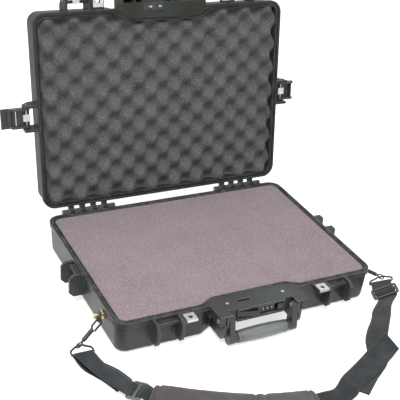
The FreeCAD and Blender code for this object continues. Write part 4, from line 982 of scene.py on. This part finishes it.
RIGHT_BAND: tuple[tuple[float, ...], ...] = (
    (71.0, -385.6, 1.1, 94.0, -416.0, 1.1),
    (108.0, -357.5, 1.1, 131.0, -388.0, 1.1),
    (150.0, -328.6, 1.1, 173.0, -359.0, 1.8),
    (172.0, -293.0, 1.5, 197.0, -322.0, 7.0),
    (194.0, -268.0, 2.0, 219.0, -294.0, 17.0),
    (217.0, -247.0, 2.0, 246.0, -263.0, 20.0),
    (237.0, -224.0, 2.4, 267.0, -237.0, 20.0),
    (266.5, -200.4, 2.9, 300.1, -210.7, 17.2),
    (267.9, -194.2, 4.0, 301.6, -204.6, 18.3),
    (267.4, -188.8, 9.1, 301.0, -199.2, 23.5),
    (268.3, -185.0, 9.8, 301.9, -195.3, 24.2),
    (271.5, -178.9, 6.8, 305.1, -189.2, 21.1),
    (272.9, -172.7, 7.9, 306.5, -183.1, 22.2),
    (282.7, -152.8, 8.0, 308.9, -174.4, 25.1),
    (284.2, -151.3, 7.6, 310.4, -172.9, 24.6),
    (285.6, -150.9, 5.9, 311.8, -172.5, 23.0),
    (286.0, -151.7, 4.3, 312.2, -173.3, 21.3),
    (285.6, -153.0, 3.2, 311.8, -174.6, 20.3),
    (272.9, -172.7, 1.9, 306.5, -183.1, 16.2),
)


@dataclass
class Webbing:
    """Flat woven band that follows the pairs of edge points of its route."""

    name: str
    node: str
    route: tuple[tuple[float, ...], ...]
    cloth: bpy.types.Material
    width: float = 38.0
    thickness: float = 1.5
    steps: int = 7
    lanes: int = 8
    clear: float = 0.1

    def build(self) -> None:
        """Build the band."""
        near = [Vector(row[:3]) for row in self.route]
        far = [Vector(row[3:]) for row in self.route]
        work = Work()
        count = self.steps * (len(near) - 1)
        bmesh.ops.create_grid(work.mesh, x_segments=count, y_segments=self.lanes, size=1.0)
        chart = work.mesh.loops.layers.uv.new("band")
        middles = [(through(near, k / count) + through(far, k / count)) / 2 for k in range(count + 1)]
        reach = [0.0]
        for before, after in zip(middles, middles[1:]):
            reach.append(reach[-1] + (after - before).length)
        for face in work.mesh.faces:
            for corner in face.loops:
                step = round((corner.vert.co.x + 1) / 2 * count)
                share = (corner.vert.co.y + 1) / 2
                corner[chart].uv = (reach[step] * MM, share * self.width * MM)

        def lay(place: Vector) -> Vector:
            """Send a grid corner to its place on the route.

            Args:
                place: Corner of the flat grid, from -1 to 1.

            Returns:
                Its place in metres.
            """
            step = round((place.x + 1) / 2 * count)
            share = (place.y + 1) / 2
            spot = through(near, step / count).lerp(through(far, step / count), share)
            spot.z = max(spot.z, self.thickness / 2 + self.clear)
            return spot * MM

        work.move(lay)
        piece = work.finish(self.name, self.cloth, Rides.BASE, "webbing", [self.node], smooth=60.0)
        wall = piece.modifiers.new("thickness", "SOLIDIFY")
        wall.thickness = self.thickness * MM
        wall.offset = 0.0
        wall.use_even_offset = False


@dataclass
class ShoulderPad:
    """Sewn pad that carries the strap: crowned cover, drawn-in seams, tab ends and lines of stitches."""

    route: tuple[tuple[float, float, float], ...] = (
        (-236.5, -291.0, 21.0), (-221.0, -303.5, 27.0), (-195.0, -323.0, 29.0), (-155.0, -346.6, 29.0),
        (-102.0, -373.6, 29.0), (-61.3, -386.7, 28.0), (-21.2, -394.9, 26.0), (5.0, -397.8, 23.0))
    low: float = 2.2
    thick: float = 11.5
    thin: float = 0.8
    bottom: float = 0.1
    cuts: tuple[int, int, int] = (150, 22, 3)
    seams: tuple[float, ...] = (0.07, 0.60, 0.655, 0.955)
    seam_reach: float = 0.008
    seam_draw: float = 0.2
    pinch: float = 0.022
    pinch_reach: float = 0.02
    border: float = 0.84
    border_reach: float = 0.035
    border_draw: float = 0.13
    roundness: float = 3.2
    ripple: float = 0.05
    least: float = 0.12
    tuck: float = 0.055
    edge_lift: float = 0.9
    tab: float = 0.885
    end: float = 0.03
    stitch_pitch: float = 4.2
    stitch_span: tuple[float, float] = (0.12, 0.84)
    thread_radius: float = 0.34
    thread_lift: float = 0.12

    def frame_at(self, share: float) -> tuple[Vector, Vector, float]:
        """Middle, sideways direction and half width of the pad part-way along.

        Args:
            share: 0 at the left end, 1 at the right end.

        Returns:
            Middle on the floor, unit vector across, and half width.
        """
        spots = [Vector((x, y, half)) for x, y, half in self.route]
        here = through(spots, share)
        ahead = through(spots, min(share + 0.01, 1.0)) - through(spots, max(share - 0.01, 0.0))
        across = Vector((-ahead.y, ahead.x, 0)).normalized()
        return Vector((here.x, here.y, 0)), across, here.z

    def near_seams(self, share: float, reach: float) -> float:
        """How near a place along the pad lies to its seams, 1 on a seam and 0 far from all."""
        return sum(math.exp(-((share - seam) / reach) ** 2) for seam in self.seams)

    def crown(self, share: float, side: float) -> float:
        """Thickness of the pad at a point, as a share of its full thickness.

        Args:
            share: Place along the pad.
            side: Place across it, -1 to 1.

        Returns:
            The share of full thickness.
        """
        ends = min(1.0, share / self.end, (1.0 - share) / self.end)
        puff = (1 - abs(side) ** self.roundness) ** 0.5 if abs(side) < 1 else 0.0
        drawn = self.near_seams(share, self.seam_reach)
        stitch = math.exp(-((abs(side) - self.border) / self.border_reach) ** 2)
        ripple = self.ripple * math.sin(share * 61.0 + side * 2.4) * math.cos(share * 23.0 - side * 3.1)
        full = (0.62 + 0.3 * math.sqrt(max(ends, 0.0))) * (0.25 + 0.75 * puff)
        return max(full - self.seam_draw * drawn - self.border_draw * stitch + ripple * puff, self.least)

    def surface(self, share: float, side: float) -> Vector:
        """Point on the pad's upper face.

        Args:
            share: Place along the pad, 0 to 1.
            side: Place across it, -1 to 1.

        Returns:
            The point in millimetres.
        """
        middle, across, half = self.frame_at(share)
        pinch = 1.0 - self.pinch * self.near_seams(share, self.pinch_reach)
        spot = middle + across * (half * side * pinch)
        spot.z = self.low + self.thick * self.crown(share, side)
        return spot

    def build(self, finishes: Finishes) -> None:
        """Build the cover and its stitches.

        Args:
            finishes: The materials.
        """
        work = Work()
        bmesh.ops.create_cube(work.mesh, size=2.0)
        for axis, cuts in enumerate(self.cuts):
            lines = [edge for edge in work.mesh.edges
                     if abs((edge.verts[1].co - edge.verts[0].co).normalized()[axis]) > 0.9]
            bmesh.ops.subdivide_edges(work.mesh, edges=lines, cuts=cuts, use_grid_fill=True)

        def shape(place: Vector) -> Vector:
            """Send a point of the block to its place in the pad.

            Args:
                place: Point of the cube, from -1 to 1 each way.

            Returns:
                Its place in metres.
            """
            share = (place.x + 1) / 2
            round_side = place.y * (1.0 - self.tuck * place.z * place.z * abs(place.y) ** 3)
            top = self.surface(share, round_side)
            rise = (place.z + 1) / 2
            floor = self.low + self.bottom + self.edge_lift * abs(place.y) ** 6
            return Vector((top.x, top.y, floor + max(top.z - floor, self.thin) * rise)) * MM

        work.move(shape)
        bmesh.ops.recalc_face_normals(work.mesh, faces=work.mesh.faces)
        piece = work.finish("shoulder_pad_cover", finishes.pad, Rides.BASE, "pad", ["shoulder_pad"],
                            smooth=70.0)
        self.stitches(finishes)

    def stitches(self, finishes: Finishes) -> None:
        """Sew the edges, the seams and the triangle at the right end.

        Args:
            finishes: The materials.
        """
        tab, last = self.tab, self.seams[-1]
        lines = [((0.02, side), (0.975, side)) for side in (-self.border, self.border)]
        lines += [((seam, -0.8), (seam, 0.8)) for seam in self.seams]
        lines += [((tab, -0.8), (last, 0.1)), ((tab, 0.8), (last, -0.1)), ((tab, -0.8), (tab, 0.8))]
        thread = Work()
        for (share_a, side_a), (share_b, side_b) in lines:
            span = (self.surface(share_b, side_b) - self.surface(share_a, side_a)).length
            count = max(int(span / self.stitch_pitch), 2)
            for index in range(count):
                ends = []
                for part in self.stitch_span:
                    place = (index + part) / count
                    share = share_a + (share_b - share_a) * place
                    side = side_a + (side_b - side_a) * place
                    ends.append(self.surface(share, side) + Vector((0, 0, self.thread_lift)))
                thread.add(rod(ends[0], ends[1], self.thread_radius, sides=6))
        thread.finish("shoulder_pad_stitches", finishes.thread, Rides.BASE, "pad")


# ---------------------------------------------------------------- handle and lock

@dataclass
class Grip:
    """Turned grip of the handle: slight barrel, a step and ribs at each end."""

    y: float = -218.6
    z: float = 15.0
    half: float = 48.5
    waist: float = 12.6
    end: float = 11.2
    core: float = 7.5
    rib: float = 0.45
    ribs: int = 4
    pitch: float = 1.6
    groove: tuple[tuple[float, float], ...] = ((0.0, 0.0), (0.35, 1.0), (1.15, 1.0), (1.5, 0.0))
    nose: tuple[tuple[float, float], ...] = ((0.0, 1.2), (0.5, 0.35), (1.4, 0.0))
    collar: float = 2.0
    swell: float = 0.15
    segments: int = 64
    steps: int = 26

    def profile(self) -> list[Vector]:
        """Half section of the grip, along X and out along Z.

        Returns:
            Corners of the section in millimetres.
        """
        line = [Vector((-self.half, 0, self.core))]
        line += [Vector((-self.half + along, 0, self.end - drop)) for along, drop in self.nose]
        first = -self.half + self.collar
        line += [Vector((first + index * self.pitch + along, 0, self.end - self.rib * deep))
                 for index in range(self.ribs) for along, deep in self.groove]
        ending = [Vector((-spot.x, 0, spot.z)) for spot in reversed(line)]
        start = first + self.ribs * self.pitch
        for index in range(self.steps + 1):
            x = start + (-2 * start) * index / self.steps
            barrel = (self.waist - self.end) * (1 - (x / start) ** 2)
            line.append(Vector((x, 0, self.end + barrel + self.swell)))
        return line + ending

    def build(self, finishes: Finishes) -> None:
        """Spin the grip.

        Args:
            finishes: The materials.
        """
        work = spun(self.profile(), self.segments).weld(0.005)
        work.turn(Matrix.Translation((0, self.y * MM, self.z * MM)))
        work.finish("handle_grip_turned", finishes.grip, Rides.HANDLE, "grip", ["handle_grip"], smooth=32.0)


@dataclass
class DialLock:
    """Three numbered dials of the lock, with notched rims and plain numerals."""

    y: float = -200.0
    z: float = 53.2
    middle: float = 13.8
    pitch: float = 8.4
    radius: float = 7.2
    width: float = 5.6
    bore: float = 1.25
    numeral: float = 4.6
    numeral_raise: float = 0.07
    numeral_weight: float = 0.12
    numeral_clear: float = 0.02
    shoulder: tuple[tuple[float, float], ...] = ((0.0, 0.7), (0.5, 0.15), (1.1, 0.0))
    notches: int = 20
    notch_from: float = 0.4
    rim: float = 0.8
    notch: float = 0.94

    def wheel(self, x: float) -> Work:
        """One dial with notches round both rims.

        Args:
            x: Middle of the dial.

        Returns:
            The wheel as a work.
        """
        half = self.width / 2
        side = [Vector((-half, 0, self.bore))]
        side += [Vector((-half + along, 0, self.radius - drop)) for along, drop in self.shoulder]
        line = side + [Vector((-spot.x, 0, spot.z)) for spot in reversed(side)]
        work = spun(line, self.notches * 3)
        for vert in work.mesh.verts:
            out = math.hypot(vert.co.y, vert.co.z)
            if out > (self.radius - self.rim) * MM and abs(vert.co.x) > (half - self.rim) * MM:
                turn = math.atan2(vert.co.z, vert.co.y) * self.notches
                if math.cos(turn) > self.notch_from:
                    vert.co.y *= self.notch
                    vert.co.z *= self.notch
        return work.weld(0.005).turn(Matrix.Translation((x * MM, self.y * MM, self.z * MM)))

    def numerals(self, x: float, first: int) -> Work:
        """Ten figures round one dial.

        Args:
            x: Middle of the dial.
            first: Figure that faces the front.

        Returns:
            The figures as a work.
        """
        work = Work()
        for index in range(10):
            words = bpy.data.curves.new("figure", "FONT")
            words.body = str((first + index) % 10)
            words.size = self.numeral * MM
            words.extrude = self.numeral_raise * MM
            words.offset = self.numeral_weight * MM
            words.align_x = "CENTER"
            words.align_y = "CENTER"
            holder = bpy.data.objects.new("figure", words)
            flat = bpy.data.meshes.new_from_object(holder)
            figure = Work()
            figure.mesh.from_mesh(flat)
            figure.turn(Matrix.Translation((x * MM, self.y * MM, self.z * MM))
                        @ Matrix.Rotation(math.radians(36.0 * index), 4, "X")
                        @ Matrix.Translation((0, -(self.radius + self.numeral_clear) * MM, 0))
                        @ Matrix.Rotation(math.radians(90.0), 4, "X"))
            work.add(figure)
            bpy.data.objects.remove(holder)
            bpy.data.curves.remove(words)
            bpy.data.meshes.remove(flat)
        return work

    def build(self, finishes: Finishes) -> None:
        """Build the wheels and their numerals.

        Args:
            finishes: The materials.
        """
        dials = ((-1, "left", Rides.DIAL_LEFT, 3), (0, "middle", Rides.DIAL_MIDDLE, 8),
                 (1, "right", Rides.DIAL_RIGHT, 5))
        for index, name, body, first in dials:
            x = self.middle + index * self.pitch
            self.wheel(x).finish(f"lock_dial_{name}_wheel", finishes.lock, body, "dial",
                                 [f"lock_dial_{name}"], smooth=25.0)
            self.numerals(x, first).finish(f"lock_dial_{name}_numerals", finishes.numeral, body, "brass")


# ---------------------------------------------------------------- stage

@dataclass(frozen=True)
class Lamp:
    """Soft square lamp: where it stands, the side of its face in metres, and its watts."""

    name: str
    place: tuple[float, float, float]
    size: float
    power: float

    def build(self, aim: Vector) -> None:
        """Hang the lamp.

        Args:
            aim: Where it points, in metres.
        """
        data = bpy.data.lights.new(self.name, "AREA")
        data.size = self.size
        data.energy = self.power
        lamp = bpy.data.objects.new(self.name, data)
        bpy.context.scene.collection.objects.link(lamp)
        lamp.location = self.place
        lamp.rotation_euler = (aim - Vector(self.place)).to_track_quat("-Z", "Y").to_euler()


@dataclass
class Studio:
    """White floor and backdrop, soft lights, and the camera of the photograph."""

    eye: tuple[float, float, float] = (-0.69319, -1.2362, 0.92951)
    ahead: tuple[float, float, float] = (0.438, 0.724, -0.533)
    right: tuple[float, float, float] = (0.881, -0.461, 0.098)
    lens: float = 79.39
    sensor: float = 36.0
    shift: tuple[float, float] = (-0.0776, 0.1464)
    far: float = 20.0
    aim: tuple[float, float, float] = (0.0, -0.1, 0.1)
    lamps: tuple[Lamp, ...] = (
        Lamp("key_softbox", (-0.8, -1.1, 2.3), 1.1, 50.0), Lamp("fill_softbox", (1.5, -1.9, 1.3), 1.8, 7.0),
        Lamp("top_softbox", (0.2, 0.3, 2.2), 1.8, 20.0))
    world_strength: float = 0.45
    floor_glow: float = 0.68
    floor_side: float = 6.0
    floor_drop: float = 0.4
    floor_colours: tuple[Colour, Colour] = ((0.74, 0.74, 0.74), (0.78, 0.78, 0.78))

    def camera(self) -> None:
        """Place the camera at the photograph's view."""
        lens = bpy.data.cameras.new("photo_camera")
        lens.sensor_fit = "HORIZONTAL"
        lens.sensor_width = self.sensor
        lens.lens = self.lens
        lens.shift_x, lens.shift_y = self.shift
        lens.clip_end = self.far
        camera = bpy.data.objects.new("photo_camera", lens)
        bpy.context.scene.collection.objects.link(camera)
        ahead = Vector(self.ahead).normalized()
        right = Vector(self.right)
        right = (right - ahead * right.dot(ahead)).normalized()
        up = right.cross(ahead)
        turn = Matrix((right, up, -ahead)).transposed().to_4x4()
        camera.matrix_world = Matrix.Translation(Vector(self.eye)) @ turn
        bpy.context.scene.camera = camera

    def world(self) -> None:
        """Even light from all round, seen as plain white."""
        world = bpy.data.worlds.new("studio_white")
        bpy.context.scene.world = world
        sky = Graph(world)
        light = sky.node("ShaderNodeBackground", {}, {"Color": WHITE, "Strength": self.world_strength})
        white = sky.node("ShaderNodeBackground", {}, {"Color": WHITE, "Strength": 1.0})
        both = sky.node("ShaderNodeMixShader", {}, {0: sky.seen(), 1: light, 2: white})
        sky.node("ShaderNodeOutputWorld", {}, {"Surface": both})

    def floor(self) -> None:
        """Wide pale floor that looks white and still takes the case's shadow."""
        work = Work()
        bmesh.ops.create_grid(work.mesh, x_segments=2, y_segments=2, size=self.floor_side)
        work.turn(Matrix.Translation((0, 0, -self.floor_drop * MM)))
        data = bpy.data.meshes.new("studio_floor")
        work.mesh.to_mesh(data)
        work.mesh.free()
        floor = bpy.data.objects.new("studio_floor", data)
        bpy.context.scene.collection.objects.link(floor)
        paint = Paint("studio_floor")
        mottle = paint.noise(paint.place(), 3.0, detail=2.0)
        paint.dress(Base_Color=paint.mix(mottle, *self.floor_colours), Roughness=0.9, Specular_IOR_Level=0.0)
        glow = paint.node("ShaderNodeEmission", {}, {"Color": WHITE, "Strength": self.floor_glow})
        lit = paint.node("ShaderNodeAddShader", {}, {0: paint.surface, 1: glow})
        both = paint.node("ShaderNodeMixShader", {}, {0: paint.seen(), 1: paint.surface, 2: lit})
        paint.feed(paint.output.socket, both)
        data.materials.append(paint.material)

    def build(self) -> None:
        """Set up the whole studio."""
        self.camera()
        self.world()
        self.floor()
        for lamp in self.lamps:
            lamp.build(Vector(self.aim))
        bpy.context.scene.view_settings.view_transform = "Standard"


def plain(corners: object) -> list[list[float]]:
    """Bounds as plain lists of numbers."""
    return [[float(value) for value in corner] for corner in corners]


def main() -> None:
    """Build the scene in order."""
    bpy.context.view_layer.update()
    finishes = Finishes()
    dress_nodes(finishes)
    inside = CaseInside()
    BaseFoam(inside).build(finishes)
    LidFoam(inside).build(finishes)
    Webbing("strap_webbing_left", "webbing_left", LEFT_BAND, finishes.webbing_blue).build()
    Webbing("strap_webbing_right", "webbing_right", RIGHT_BAND, finishes.webbing).build()
    ShoulderPad().build(finishes)
    Grip().build(finishes)
    DialLock().build(finishes)
    Studio().build()
    log.info("size noted")


if __name__ == "__main__":
    main()
